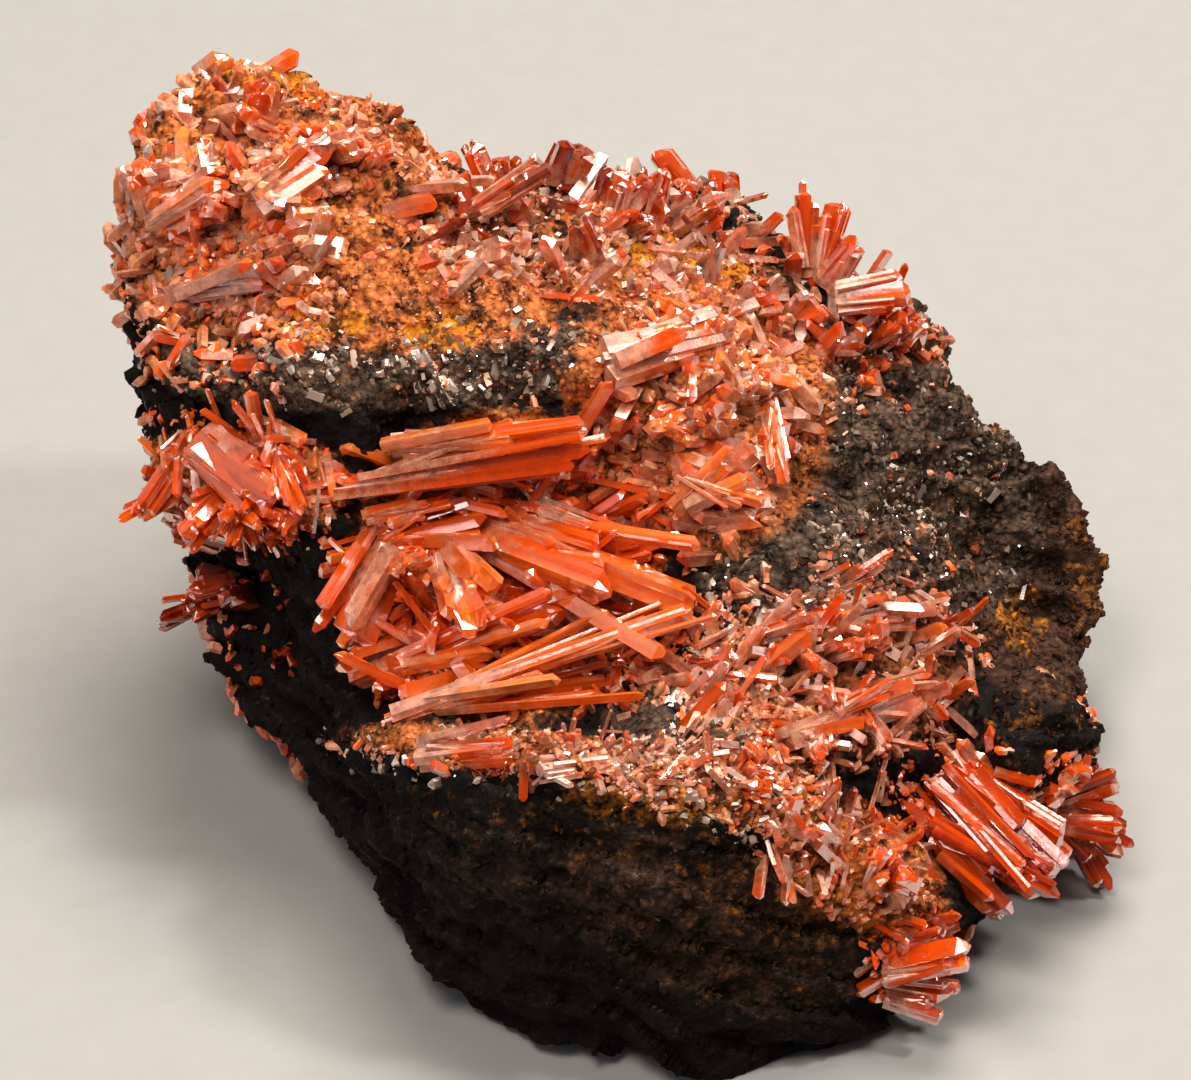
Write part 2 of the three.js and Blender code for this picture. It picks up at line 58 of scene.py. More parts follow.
VOXEL = 0.32  # size of the rock's finest facets
CHISEL_FROM = 0.3  # thickness from which a small crystal's end is a chisel, not one slanting face
MATES = 10  # slim prisms that fill out each main crystal
MAIN_CORNERS, LOOSE_CORNERS, SMALL_CORNERS, TINY_CORNERS = 12, 8, 6, 4  # sides of a prism, by size
BED_NORMAL = np.array([0.35, 0.9, 0.25]) @ SHOW_FACE / np.linalg.norm([0.35, 0.9, 0.25])


# Crystals laid one by one and in sprays, cluster by cluster, at the places their solids have
LAID = {
    "vug_crystals": [
        (-13.4, 2.6, 0.8, -0.4, 4.9, 2.8, 1.6, 2),
        (-11, 5, 0.8, -1, 5.9, 2.4, 2, 2),
        (-12.8, -7.4, 0.9, -1.8, -3.8, 3.2, 1.9, 1.7),
        (-11, -9.4, 0.8, 5.2, -3.8, 3, 1.2, 1.5),
        (-11, -0.4, 0.6, -13.2, -5.4, 3.4, 2.6, 3.2),
        (-8.4, -0.6, 0.6, -6.2, -4.6, 3.4, 2, 2.8),
        (-6.6, 1.2, 0.5, 5.4, -3.4, 2.8, 2.6, 3),
        (-12.4, 1.2, 0.9, -8.2, 2, 2.4, 0.9, 1.1),
        (-3.4, 2, 0.6, 1.4, 0.2, 2.8, 1.1, 1.6),
    ],
    "left_rim_crystals": [
        (-21.6, 5, 0.6, -17.4, 2, 2.6, 2.4, 3),
        (-20.4, 2.6, 0.6, -16.6, 0.8, 2.6, 1.5, 2),
        (-17.2, 4.8, 0.6, -16, 1.4, 3, 0.8, 1),
    ],
    "left_flank_crystals": [
        (-20, 0, 0.4, -22.8, 0.8, 0.8, 1.5, 1.9),
        (-19.6, -2.4, 0.4, -22, -3, 0.8, 1.4, 1.8),
    ],
    "summit_crystals": [
        (-23, 13.4, 0.6, -16.8, 15, 1.8, 1.5, 1.9),
        (-23.6, 17.2, 0.6, -20.2, 19.4, 2.2, 2.2, 2.6),
        (-18.4, 18.4, 0.6, -14.4, 21.2, 2, 1.9, 2.2),
    ],
    "ridge_crystals": [
        (-6.8, 17.6, 0.5, -2.4, 20.2, 1.4, 1, 1.4),
        (3, 16.8, 0.6, 3.9, 20, 1.8, 0.8, 1.2),
        (4.2, 16.6, 0.5, 7, 18.6, 1.6, 1.6, 2),
    ],
    "shoulder_spray": [
        (11.2, 14.2, 0.4, 11.2, 18.8, 1, 1.3, 2),
        (11.8, 14, 0.4, 13, 18.2, 1, 1.2, 1.7),
        (12.4, 13.6, 0.4, 14, 16.4, 1.2, 1.2, 1.7),
        (13, 13, 0.6, 17, 13.4, 1.2, 1.4, 1.9),
    ],
    "ledge_crystals": [
        (0.6, 9.6, 0.7, 7, 11.2, 2, 2.2, 2.6),
        (4.6, 3.2, 0.8, 9, 2, 2.2, 0.8, 1),
        (9.4, 7.4, 0.6, 10.2, 3, 2, 0.8, 1.1),
        (4.6, 1.6, 0.6, 8.6, 5, 2.4, 1.7, 2.2),
    ],
    "right_slope_crystals": [
        (8.8, -5.4, 0.6, 18.4, -3.8, 2, 1.3, 1.6),
        (10.4, -11, 0.7, 17.8, -8.2, 2.2, 1.6, 1.8),
        (12.2, -9.8, 0.8, 16, -7.6, 2.8, 0.7, 0.8),
        (14, -8.4, 0.8, 16, -10.8, 2.6, 0.7, 0.9),
    ],
    "front_lip_crystals": [
        (-9.6, -11.6, 0.6, -4.4, -11.2, 1.6, 1.2, 1.5),
        (-3, -12.4, 0.6, 1, -12, 1.6, 1.1, 1.4),
    ],
    "fan_crystals": [
        (18.6, -13, 0.8, 24, -18.6, 2.8, 1.5, 2),
        (20.4, -13.2, 0.8, 25, -18, 2.4, 1.6, 2.4),
        (20.8, -13.6, 0.8, 25.2, -16.6, 2.2, 1.4, 2.4),
        (18.2, -15.6, 0.8, 25, -19.2, 1.6, 1.5, 2),
        (18.2, -16.2, 0.6, 22.4, -20.2, 1, 1.4, 1.8),
        (19.2, -12.8, 0.8, 22.4, -15.4, 3, 1, 1.4),
    ],
    "corner_crystals": [
        (24.8, -14.2, 0.5, 28.2, -13, 1, 1.8, 2.2),
        (24.8, -14.6, 0.5, 28.6, -15.2, 1, 2, 2.2),
        (25, -14.8, 0.5, 28.4, -17, 0.4, 1.6, 2),
        (25.6, -15.2, 0.3, 27.8, -18.8, 0, 1.3, 1.6),
    ],
    "foot_crystals": [
        (15.6, -23, 0.5, 20.2, -22, 1.4, 1.8, 2.2),
        (15.8, -24, 0.5, 19.2, -24.6, 1, 1.5, 2),
        (16.4, -21.8, 0.5, 19.6, -20.8, 1.4, 1, 1.3),
    ],
    "back_crystals": [
        (-10, -16, 0.7, -4, -14, 2.2, 1.6, 2),
        (1, -19, 0.7, 7, -17.6, 2.2, 1.4, 1.8),
    ],
}

# Each spray: seed, count, place, patch, aim, spread, lengths and thicknesses
SPRAYS = {
    "vug_crystals": [
        (11, 4, (-9, -2), 3, (-0.3, 0.1, 1), 0.9, (3, 4.6), (0.8, 1.5)),
        (12, 3, (0.5, -5), 3, (0.4, 0.2, 1), 0.9, (3, 4.4), (0.7, 1.3)),
    ],
    "left_rim_crystals": [
        (21, 3, (-18, 2.6), 1.6, (-0.2, -0.4, 1), 0.8, (2.6, 4.2), (0.6, 1)),
        (22, 3, (-21.4, 3.8), 2, (-0.7, -0.2, 0.8), 0.7, (2.4, 3.6), (1, 1.7)),
    ],
    "left_flank_crystals": [
        (31, 3, (-20, -2.4), 1.6, (-0.8, 0, 0.8), 0.6, (2, 2.8), (0.9, 1.5)),
    ],
    "summit_crystals": [
        (41, 4, (-21.6, 19), 3, (-0.6, 0.4, 0.8), 0.7, (2, 3), (1.4, 2.4)),
        (42, 4, (-15.6, 22), 3.4, (0, 0.6, 0.8), 0.7, (2, 3), (1.2, 2.2)),
    ],
    "ridge_crystals": [
        (52, 3, (-4, 18), 2.6, (0.1, 0.6, 0.8), 0.8, (1.8, 2.6), (1.1, 1.9)),
        (53, 3, (2.6, 17.6), 2.6, (0.2, 0.6, 0.8), 0.8, (1.8, 2.6), (1.1, 2)),
    ],
    "shoulder_spray": [
        (62, 3, (14.4, 12), 2.4, (0.5, 0.6, 0.6), 0.6, (1.8, 2.6), (1, 1.6)),
    ],
    "ledge_crystals": [
        (71, 3, (7.2, 5), 2.6, (0.1, 0.2, 1), 0.9, (2, 3), (1, 2)),
        (72, 3, (3.8, 10), 2.6, (0.2, 0.5, 1), 0.9, (2, 3), (1, 1.8)),
    ],
    "right_slope_crystals": [
        (81, 3, (12.6, -5), 2.8, (0.3, 0.1, 1), 0.9, (2.2, 3.4), (0.8, 1.6)),
        (82, 3, (14, -9), 2.6, (0.3, 0.1, 1), 0.9, (2, 3.2), (0.8, 1.4)),
    ],
    "front_lip_crystals": [
        (92, 3, (7, -13.8), 3, (0.2, 0.4, 1), 0.8, (1.6, 2.4), (1, 1.8)),
        (93, 3, (13.6, -17.4), 2.4, (0.4, 0.3, 1), 0.8, (1.6, 2.6), (1, 1.8)),
    ],
    "fan_crystals": [],
    "corner_crystals": [],
    "foot_crystals": [],
    "back_crystals": [
        (131, 4, (-6, -16), 3, (-0.1, 0.2, 1), 0.9, (2.2, 3.4), (1, 2)),
        (132, 3, (4, -19), 2.8, (0.2, 0.1, 1), 0.9, (2.2, 3.4), (1, 1.8)),
    ],
}

# How red or pale each cluster's crystals are, from 0, deep red-brown, to 1, pale orange-pink, and their dust and
# painted sheen
CLUSTER_TINT = {
    "vug_crystals": (0.5, 0.95, 0.12),
    "left_rim_crystals": (0.4, 0.75, 0.06),
    "left_flank_crystals": (0.1, 0.4, 0),
    "summit_crystals": (0.35, 0.85, 0.26),
    "ridge_crystals": (0.1, 0.55, 0.24),
    "shoulder_spray": (0.3, 0.7, 0.14),
    "ledge_crystals": (0.55, 1, 0.2),
    "right_slope_crystals": (0.4, 0.8, 0.24),
    "front_lip_crystals": (0.35, 0.8, 0.28),
    "fan_crystals": (0.15, 0.5, -0.1),
    "corner_crystals": (0.25, 0.55, 0.12),
    "foot_crystals": (0.2, 0.5, 0.08),
    "back_crystals": (0.25, 0.7, 0.12),
}

# Patches of small crystals: piece, across, up, half width, half height, turn in degrees, crystals per square
# millimetre, least and greatest thickness, least and greatest tint, and dust with painted sheen. The back's are seen
# from behind.
COAT = [
    ("summit_coat", -20.5, 19, 7, 7.5, 10, 4, 0.16, 0.74, 0.4, 1.1, 0.2),
    ("summit_coat", -20.5, 13, 6.5, 4, 5, 4, 0.16, 0.66, 0.4, 1, 0.2),
    ("summit_coat", -12.5, 19.5, 6, 5, -25, 3.4, 0.16, 0.66, 0.25, 0.75, 0.26),
    ("summit_coat", -11.5, 13, 9, 2.6, -4, 1.6, 0.1, 0.33, 0.25, 0.6, 0.2),
    ("summit_coat", -13, 9.2, 9, 2, -2, 0.7, 0.1, 0.37, 0.05, 0.5, 0.16),
    ("ridge_coat", -3.5, 17.2, 8, 4, 0, 3, 0.16, 0.61, 0.1, 0.65, 0.34),
    ("ridge_coat", 5.5, 15.4, 6, 4, -15, 3, 0.16, 0.61, 0.15, 0.7, 0.3),
    ("ridge_coat", -1, 12.4, 8, 2.4, -5, 3, 0.12, 0.41, 0.2, 0.6, 0.25),
    ("ridge_coat", 14.6, 11.6, 5, 3.4, -40, 3.4, 0.16, 0.57, 0.15, 0.6, 0.2),
    ("hollow_coat", -19.6, 3.2, 6.4, 3.4, -14, 6, 0.12, 0.49, 0.3, 0.75, 0.1),
    ("hollow_coat", -4.8, -1.4, 7.8, 7.6, 0, 6, 0.12, 0.41, 0.3, 0.65, 0.08),
    ("hollow_coat", 3, -6, 6, 3.6, -15, 5, 0.14, 0.45, 0.2, 0.6, 0.18),
    ("hollow_coat", -19.6, -3, 2.6, 5, 24, 0.7, 0.2, 0.57, 0, 0.25, 0),
    ("ledge_coat", 5.8, 6.4, 5.6, 7, 10, 6, 0.16, 0.66, 0.4, 1.05, 0.2),
    ("ledge_coat", 12.4, -6.8, 8, 5.4, 10, 4, 0.14, 0.49, 0.15, 0.65, 0.3),
    ("ledge_coat", 17, 4.6, 6, 6, 30, 0.4, 0.12, 0.41, 0.1, 0.5, 0.15),
    ("lip_coat", -5, -11.6, 9, 1.3, -5, 4.4, 0.12, 0.41, 0.2, 0.7, 0.3),
    ("lip_coat", 6.5, -13.2, 7, 2.2, -14, 4.4, 0.12, 0.41, 0.25, 0.8, 0.28),
    ("lip_coat", 13.6, -17, 5.4, 3, -34, 5, 0.12, 0.45, 0.3, 0.8, 0.22),
    ("lip_coat", 20, -14, 4, 3.4, -30, 4, 0.14, 0.41, 0.2, 0.6, 0.06),
    ("lip_coat", 25.4, -14.8, 2.6, 3, -10, 6, 0.16, 0.57, 0.3, 0.7, 0.14),
    ("lip_coat", 17, -22.6, 2.4, 2.6, -30, 5, 0.14, 0.41, 0.2, 0.6, 0.06),
    ("grey_druse", -14, 9.4, 9.5, 2.2, -2, 5, 0.07, 0.34, 0, 1, 0),
    ("grey_druse", -4.6, 10, 7, 2.2, 0, 4, 0.07, 0.34, 0, 1, 0),
    ("grey_druse", 16.4, 6, 6, 7, 38, 2.4, 0.07, 0.3, 0, 1, 0),
    ("grey_druse", 18.5, 0.6, 5, 5, 0, 2.4, 0.07, 0.34, 0, 1, 0),
    ("grey_druse", 10.5, -1.4, 5, 3, 0, 4, 0.07, 0.34, 0, 1, 0),
    ("grey_druse", 5.6, -9.6, 5, 2, 0, 4, 0.07, 0.34, 0, 1, 0),
    # From here on the pale druse on the summit, ridge, ledge, slope and lip is painted sheen: pale crystals standing
    # in for whitish light on the crystal faces
    ("grey_druse", -20, 19, 6, 6.4, 10, 2.6, 0.1, 0.55, 0.4, 1, 0),
    ("grey_druse", 0, 17, 10, 3.6, -5, 2.2, 0.1, 0.5, 0.3, 1, 0),
    ("grey_druse", 6, 6.4, 5, 6, 10, 1.6, 0.1, 0.5, 0.5, 1, 0),
    ("grey_druse", 12, -5, 7, 4, 10, 3, 0.08, 0.4, 0.1, 1, 0),
    ("grey_druse", 7, -13.8, 7, 2.2, -14, 4, 0.08, 0.4, 0.3, 1, 0),
    ("grey_druse", -5, -11.9, 9, 1.6, -5, 3, 0.08, 0.4, 0.3, 1, 0),
    ("back_coat", -6, -16, 7.4, 4.4, 12, 5, 0.16, 0.74, 0.2, 0.75, 0.16),
    ("back_coat", 4, -19, 6.4, 4, -10, 5, 0.16, 0.74, 0.2, 0.75, 0.16),
]

# Loose prisms lying across each other: across, up, half width, half height, count, lengths, thicknesses,
# heading on the show face and its spread in degrees, lift off the rock as a share, tints, and dust with painted sheen
STRAWS = [
    (-5, -0.3, 7, 5.4, 150, (2.5, 8), (0.21, 0.68), 12, 28, 0.3, (0.4, 0.8), 0.06),
    (-4.6, -3.4, 7, 5, 90, (2.5, 7), (0.21, 0.59), -34, 26, 0.35, (0.35, 0.75), 0.1),
    (-8.4, -4.6, 4, 4.4, 60, (2, 5), (0.26, 0.77), 75, 40, 0.6, (0.4, 0.75), 0.06),
    (-19.4, 3.2, 5.4, 2.8, 130, (1.4, 4), (0.12, 0.47), -62, 60, 0.6, (0.4, 0.85), 0.1),
    (-20, 18, 6, 7, 110, (0.8, 2.2), (0.26, 0.77), 24, 80, 0.5, (0.3, 0.85), 0.3),
    (-20, 12.6, 5, 3, 40, (1, 2.8), (0.17, 0.51), 16, 40, 0.3, (0.35, 0.85), 0.3),
    (-1, 17, 10, 3.6, 140, (1.2, 4), (0.21, 0.68), 42, 60, 0.5, (0.05, 0.65), 0.28),
    (13, 12.6, 5, 3, 70, (1.2, 3.4), (0.26, 0.68), 60, 50, 0.5, (0.15, 0.6), 0.2),
    (5.8, 6.4, 5, 6.4, 150, (1, 3.2), (0.21, 0.77), 20, 90, 0.5, (0.45, 0.95), 0.3),
    (12.6, -6.6, 7, 5, 150, (1.4, 5), (0.14, 0.51), 18, 40, 0.35, (0.25, 0.8), 0.3),
    (3, -6.6, 5, 3, 60, (1.4, 4.4), (0.17, 0.51), 24, 40, 0.4, (0.3, 0.75), 0.2),
    (2, -12, 11, 1.5, 110, (0.8, 2.6), (0.1, 0.38), 22, 70, 0.5, (0.25, 0.8), 0.35),
    (13.4, -16.6, 5, 2.6, 80, (0.8, 2.8), (0.12, 0.42), -30, 70, 0.5, (0.3, 0.8), 0.26),
    (20.4, -14.8, 3, 2.4, 70, (2, 5), (0.21, 0.68), -44, 18, 0.35, (0.35, 0.7), 0.06),
    (25.4, -14.8, 2, 2.6, 60, (0.8, 2.4), (0.26, 0.77), 0, 70, 0.7, (0.35, 0.75), 0.15),
    (16.8, -22.4, 2, 2.2, 50, (0.8, 2.8), (0.21, 0.68), 4, 50, 0.6, (0.25, 0.65), 0.1),
]

# Where the rock is stained: kind, across, up, half width, half height, turn in degrees, strength
STAINS = [
    ("ochre", -17.6, 25.2, 4, 1.6, -10, 1),
    ("ochre", -16.4, 18.4, 2.4, 1.6, 0, 0.9),
    ("ochre", -15.6, 11.8, 4, 1, 0, 0.7),
    ("ochre", -8.4, 11.4, 2.4, 1.2, 0, 0.7),
    ("ochre", 5, 15.4, 4, 1.2, -10, 0.8),
    ("ochre", 23, -4.3, 1.6, 2.2, 0, 0.42),
    ("ochre", 26.8, -1, 1.6, 5, 0, 0.34),
    ("ochre", 2.4, -14.2, 5, 1.4, -8, 0.45),
    ("ochre", 9, -19, 6, 3.4, -20, 0.32),
    ("ochre", 12.6, -19.4, 4, 2.4, -28, 0.4),
    ("ochre", 7, -22.4, 8, 3.4, -20, 0.26),
    ("ochre", 24.5, -10.8, 4.5, 3.5, 0, 0.3),
    ("ochre", -4, -15.4, 8, 2, -12, 0.28),
    ("rust", -16, 15, 7, 3.4, 0, 0.9),
    ("rust", -10.6, 13, 8, 2.8, -4, 1),
    ("rust", -20, 19, 7, 8, 0, 0.7),
    ("rust", -2, 15.7, 7, 3.4, 0, 0.4),
    ("rust", 5.6, 7.6, 7, 8, 10, 0.9),
    ("rust", 12.6, -7.6, 8, 5, 0, 0.36),
    ("rust", -5, -11.3, 9, 1.3, -5, 0.5),
    ("rust", 7.8, -13.4, 7, 2.1, -14, 0.46),
    ("rust", 14.3, -17.6, 5, 3, -34, 0.9),
    ("rust", -4.8, -1.4, 8, 8, 0, 1),
    ("rust", -19.6, 3, 6, 3, 0, 0.9),
    ("rust", -14.4, 9.4, 10, 2.4, -2, 0.2),
    ("rust", 16.4, 6.5, 6, 7, 38, 0.16),
    ("rust", 18, 0, 5, 4, 0, 0.2),
    ("rust", -11, 20.8, 6, 5, -25, 0.8),
    ("umber", 6, -20.5, 9, 4.5, -22, 0.4),
    ("umber", -3, -18, 8, 3, -14, 0.24),
    ("umber", 24.6, -1.6, 5, 7, 0, 1),
    ("umber", 19.6, 3.4, 3, 4, 0, 0.6),
    ("druse", -14.4, 9.2, 10, 2.2, -2, 1),
    ("druse", -5, 9.8, 7, 2.4, 0, 0.9),
    ("druse", 16.4, 6.5, 6, 7, 38, 1),
    ("druse", 19, 0.8, 5, 5, 0, 1),
    ("druse", 10.5, -1.4, 5, 3, 0, 0.9),
    ("druse", 5.6, -9.6, 5, 2, 0, 0.8),
]


# Numbers and noise

def dice(seed):
    """Rolls repeatable numbers from 0 to 1, each worked out from the last as the solids' are."""
    state = seed * 7919
    while True:
        state = state * 16807 % 2147483647
        yield state / 2147483647


def lattice(cells, seed):
    """A repeatable value from 0 to 1 for each whole-numbered cell: its three numbers mixed and folded."""
    mixed = cells.astype(np.int64) @ np.array([73856093, 19349663, 83492791]) + seed * 9973
    mixed = (mixed ^ (mixed >> 13)) * 1274126177 & 0x7FFFFFFF
    return ((mixed ^ (mixed >> 16)) & 0xFFFF) / 0xFFFF


def noise(points, size, seed=0):
    """Smooth noise from -1 to 1: eight lattice values round each point, blended by t * t * (3 - 2 * t)."""
    cells = points / size
    low = np.floor(cells)
    ease = cells - low
    ease = ease * ease * (3 - 2 * ease)
    total = np.zeros(len(points))
    for corner in np.ndindex(2, 2, 2):
        step = np.array(corner)
        weight = np.where(step, ease, 1 - ease).prod(axis=1)
        total += weight * lattice(low + step, seed)
    return 2 * total - 1


def grains(points, size, seed):
    """Distance to the nearest of one jittered centre per lattice cell, as a share of size: round grains."""
    cells = points / size
    low = np.floor(cells)
    nearest = np.full(len(points), 9.0)
    for corner in np.ndindex(3, 3, 3):
        cell = low + np.array(corner) - 1
        centre = cell + np.stack([lattice(cell, seed + part) for part in range(3)], -1)
        nearest = np.minimum(nearest, np.linalg.norm(cells - centre, axis=1))
    return nearest


def linear(hex_colour):
    """An sRGB hex colour as linear red, green, blue and full alpha."""
    values = [int(hex_colour[i:i + 2], 16) / 255 for i in (1, 3, 5)]
    return [v / 12.92 if v <= 0.04045 else ((v + 0.055) / 1.055) ** 2.4 for v in values] + [1.0]


# The show face

def as_seen(points, axes=SHOW_FACE):
    """Across, up and out of points in millimetres, with across and up as the eye sees them."""
    local = (points - FACE_MIDDLE) @ axes.T
    closer = 1 - local[:, 2:] / EYE
    return np.hstack([local[:, :2] / closer, local[:, 2:]])


def seen_point(axes, across, up, out):
    """The point that the eye sees at across and up, standing out from the face's middle by out."""
    closer = 1 - out / EYE
    return FACE_MIDDLE + np.array([across * closer, up * closer, out]) @ axes


def inside_ellipse(places, across, up, half_width, half_height, turn):
    """1 well inside an ellipse on the show face, falling smoothly to 0 past its edge."""
    angle = math.radians(turn)
    x, y = places[:, 0] - across, places[:, 1] - up
    along = (x * math.cos(angle) + y * math.sin(angle)) / half_width
    over = (y * math.cos(angle) - x * math.sin(angle)) / half_height
    fade = np.clip((1.25 - np.hypot(along, over)) / 0.5, 0, 1)
    return fade * fade * (3 - 2 * fade)


# Meshes

def mesh_object(name, points, triangles, attributes=None, smooth=False):
    """Puts points in millimetres and triangles into a mesh object at the origin, with point attributes."""
    mesh = bpy.data.meshes.new(name)
    mesh.from_pydata(np.asarray(points) * MM, [], np.asarray(triangles))
    for key, values in (attributes or {}).items():
        layer = mesh.attributes.new(key, "FLOAT", "POINT")
        layer.data.foreach_set("value", np.asarray(values, np.float32))
    mesh.polygons.foreach_set("use_smooth", np.full(len(mesh.polygons), smooth))
    mesh.update()
    made = bpy.data.objects.new(name, mesh)
    bpy.context.scene.collection.objects.link(made)
    return made


def arrays_of(mesh):
    """A mesh's points in millimetres, its triangles and its points' normals as arrays."""
    mesh.calc_loop_triangles()
    points = np.empty(len(mesh.vertices) * 3, np.float32)
    mesh.vertices.foreach_get("co", points)
    triangles = np.empty(len(mesh.loop_triangles) * 3, np.int32)
    mesh.loop_triangles.foreach_get("vertices", triangles)
    normals = np.empty(len(mesh.vertices) * 3, np.float32)
    mesh.vertex_normals.foreach_get("vector", normals)
    return points.reshape(-1, 3) / MM, triangles.reshape(-1, 3), normals.reshape(-1, 3).astype(float)


def turned_to(axis):
    """For each unit axis, the turn that takes +Y to it the shortest way, as three columns."""
    x, y, z = axis.T
    lift = 1 / (1 + np.maximum(y, -0.999))
    zero = np.zeros_like(x)
    skew = np.stack([
        np.stack([zero, x, zero], -1),
        np.stack([-x, zero, -z], -1),
        np.stack([zero, z, zero], -1),
    ], axis=1)
    return np.eye(3) + skew + skew @ skew * lift[:, None, None]


def prisms(root, tip, thick, broad, twist, outline, point, chisel, rings):
    """Prisms from root to tip: an outline carried up the axis to a slanting top, then drawn in to a chisel.

    outline is (count, corners, 2) in half widths. The third of three rings is the chisel's edge, point further
    up and pushed sideways by chisel; with two rings the top is a plain slanting face.
    Returns points, triangles and how far along its prism each point is.
    """
    count, corners = outline.shape[:2]
    axis = tip - root
    length = np.linalg.norm(axis, axis=1)
    turn = turned_to(axis / length[:, None])
    cos, sin = np.cos(twist), np.sin(twist)
    x = outline[..., 0] * broad[:, None]
    z = outline[..., 1] * thick[:, None]
    loops = []
    heights = []
    for share, scale in ((0.0, 1.0), (1.0, 1.0), (1.0, 0.35))[:rings]:
        ring_x = x * scale + (1 - scale) * chisel[:, :1] * broad[:, None]
        ring_z = z * scale + (1 - scale) * chisel[:, 1:] * thick[:, None]
        top = (length - point)[:, None] * share + point[:, None] * (scale < 1)
        slope = 0.35 * point[:, None] * outline[..., 0] * share
        height = top + slope
        local = np.stack([
            ring_x * cos[:, None] + ring_z * sin[:, None],
            height,
            ring_z * cos[:, None] - ring_x * sin[:, None],
        ], axis=-1)
        loops.append(root[:, None] + np.einsum("nij,ncj->nci", turn, local))
        heights.append(height / length[:, None])
    points = np.concatenate(loops, axis=1)
    along = np.concatenate(heights, axis=1)
    here = np.arange(corners)
    after = (here + 1) % corners
    sides = []
    for level in range(rings - 1):
        low, high = level * corners, (level + 1) * corners
        sides.append(np.stack([low + here, high + here, high + after], -1))
        sides.append(np.stack([low + here, high + after, low + after], -1))
    fan = np.stack([np.zeros(corners - 2, int), here[1:-1], here[2:]], -1)
    sides.append(fan)
    sides.append(fan[:, ::-1] + (rings - 1) * corners)
    one = np.concatenate(sides)
    triangles = one[None] + (np.arange(count) * rings * corners)[:, None, None]
    return points.reshape(-1, 3), triangles.reshape(-1, 3), np.clip(along.reshape(-1), 0, 1)


def blocky_outline(rng, count, corners, rough):
    """A four-sided outline with corners spread evenly along its sides, each moved in or out by rough.

    A corner at angle a is at (cos a, sin a) over max(|cos a|, |sin a|), which walks round a square.
    """
    angle = np.arange(corners) * 2 * np.pi / corners + np.pi / 4
    square = np.stack([np.cos(angle), np.sin(angle)], -1)
    square /= np.abs(square).max(axis=1, keepdims=True)
    reach = 0.5 * (1 + rough * (2 * rng.random((count, corners)) - 1))
    lean = 0.25 * (2 * rng.random(count) - 1)
    outline = square[None] * reach[..., None]
    outline[..., 0] += lean[:, None] * outline[..., 1]
    return outline[:, ::-1]


def lumps(rng, centre, size):
    """Irregular grains: a twenty-faced ball round each centre, corners drawn in or out by chance, then turned."""
    golden = (1 + math.sqrt(5)) / 2
    corners = np.array([
        (-1, golden, 0), (1, golden, 0), (-1, -golden, 0), (1, -golden, 0), (0, -1, golden), (0, 1, golden),
        (0, -1, -golden), (0, 1, -golden), (golden, 0, -1), (golden, 0, 1), (-golden, 0, -1), (-golden, 0, 1),
    ]) / math.hypot(1, golden)
    faces = np.array([
        (0, 11, 5), (0, 5, 1), (0, 1, 7), (0, 7, 10), (0, 10, 11), (1, 5, 9), (5, 11, 4), (11, 10, 2), (10, 7, 6),
        (7, 1, 8), (3, 9, 4), (3, 4, 2), (3, 2, 6), (3, 6, 8), (3, 8, 9), (4, 9, 5), (2, 4, 11), (6, 2, 10),
        (8, 6, 7), (9, 8, 1),
    ])
    count = len(centre)
    axis = rng.normal(size=(count, 3))
    turn = turned_to(axis / np.linalg.norm(axis, axis=1, keepdims=True))
    reach = size[:, None] * rng.uniform(0.6, 1.25, (count, len(corners)))
    local = corners[None] * reach[..., None] * rng.uniform(0.6, 1.2, (count, 1, 3))
    points = centre[:, None] + np.einsum("nij,ncj->nci", turn, local)
    triangles = faces[None] + (np.arange(count) * len(corners))[:, None, None]
    points = points.reshape(-1, 3)
    points[:, 2] = np.maximum(points[:, 2], 0)
    return points, triangles.reshape(-1, 3)


def joined(batches):
    """Several batches of points, triangles and attributes as one."""
    offset = np.cumsum([0] + [len(b[0]) for b in batches[:-1]])
    points = np.concatenate([b[0] for b in batches])
    triangles = np.concatenate([b[1] + o for b, o in zip(batches, offset)])
    keys = batches[0][2].keys()
    return points, triangles, {k: np.concatenate([b[2][k] for b in batches]) for k in keys}


# Materials

def add_node(tree, kind, inputs=None, **settings):
    """Adds a node, makes its settings and gives each input a value or a link from another node's output."""
    made = tree.nodes.new(kind)
    for name, value in settings.items():
        setattr(made, name, value)
    for key, value in (inputs or {}).items():
        if isinstance(value, bpy.types.NodeSocket):
            tree.links.new(value, made.inputs[key])
        else:
            made.inputs[key].default_value = value
    return made


def blank_material(name):
    """A new material with its node tree and its surface shader."""
    material = bpy.data.materials.new(name)
    material.use_nodes = True
    tree = material.node_tree
    return material, tree, tree.nodes["Principled BSDF"]


def per_metre(size):
    """How many features of a size in millimetres there are to the metre, as texture scales are counted."""
    return 1 / (size * MM)


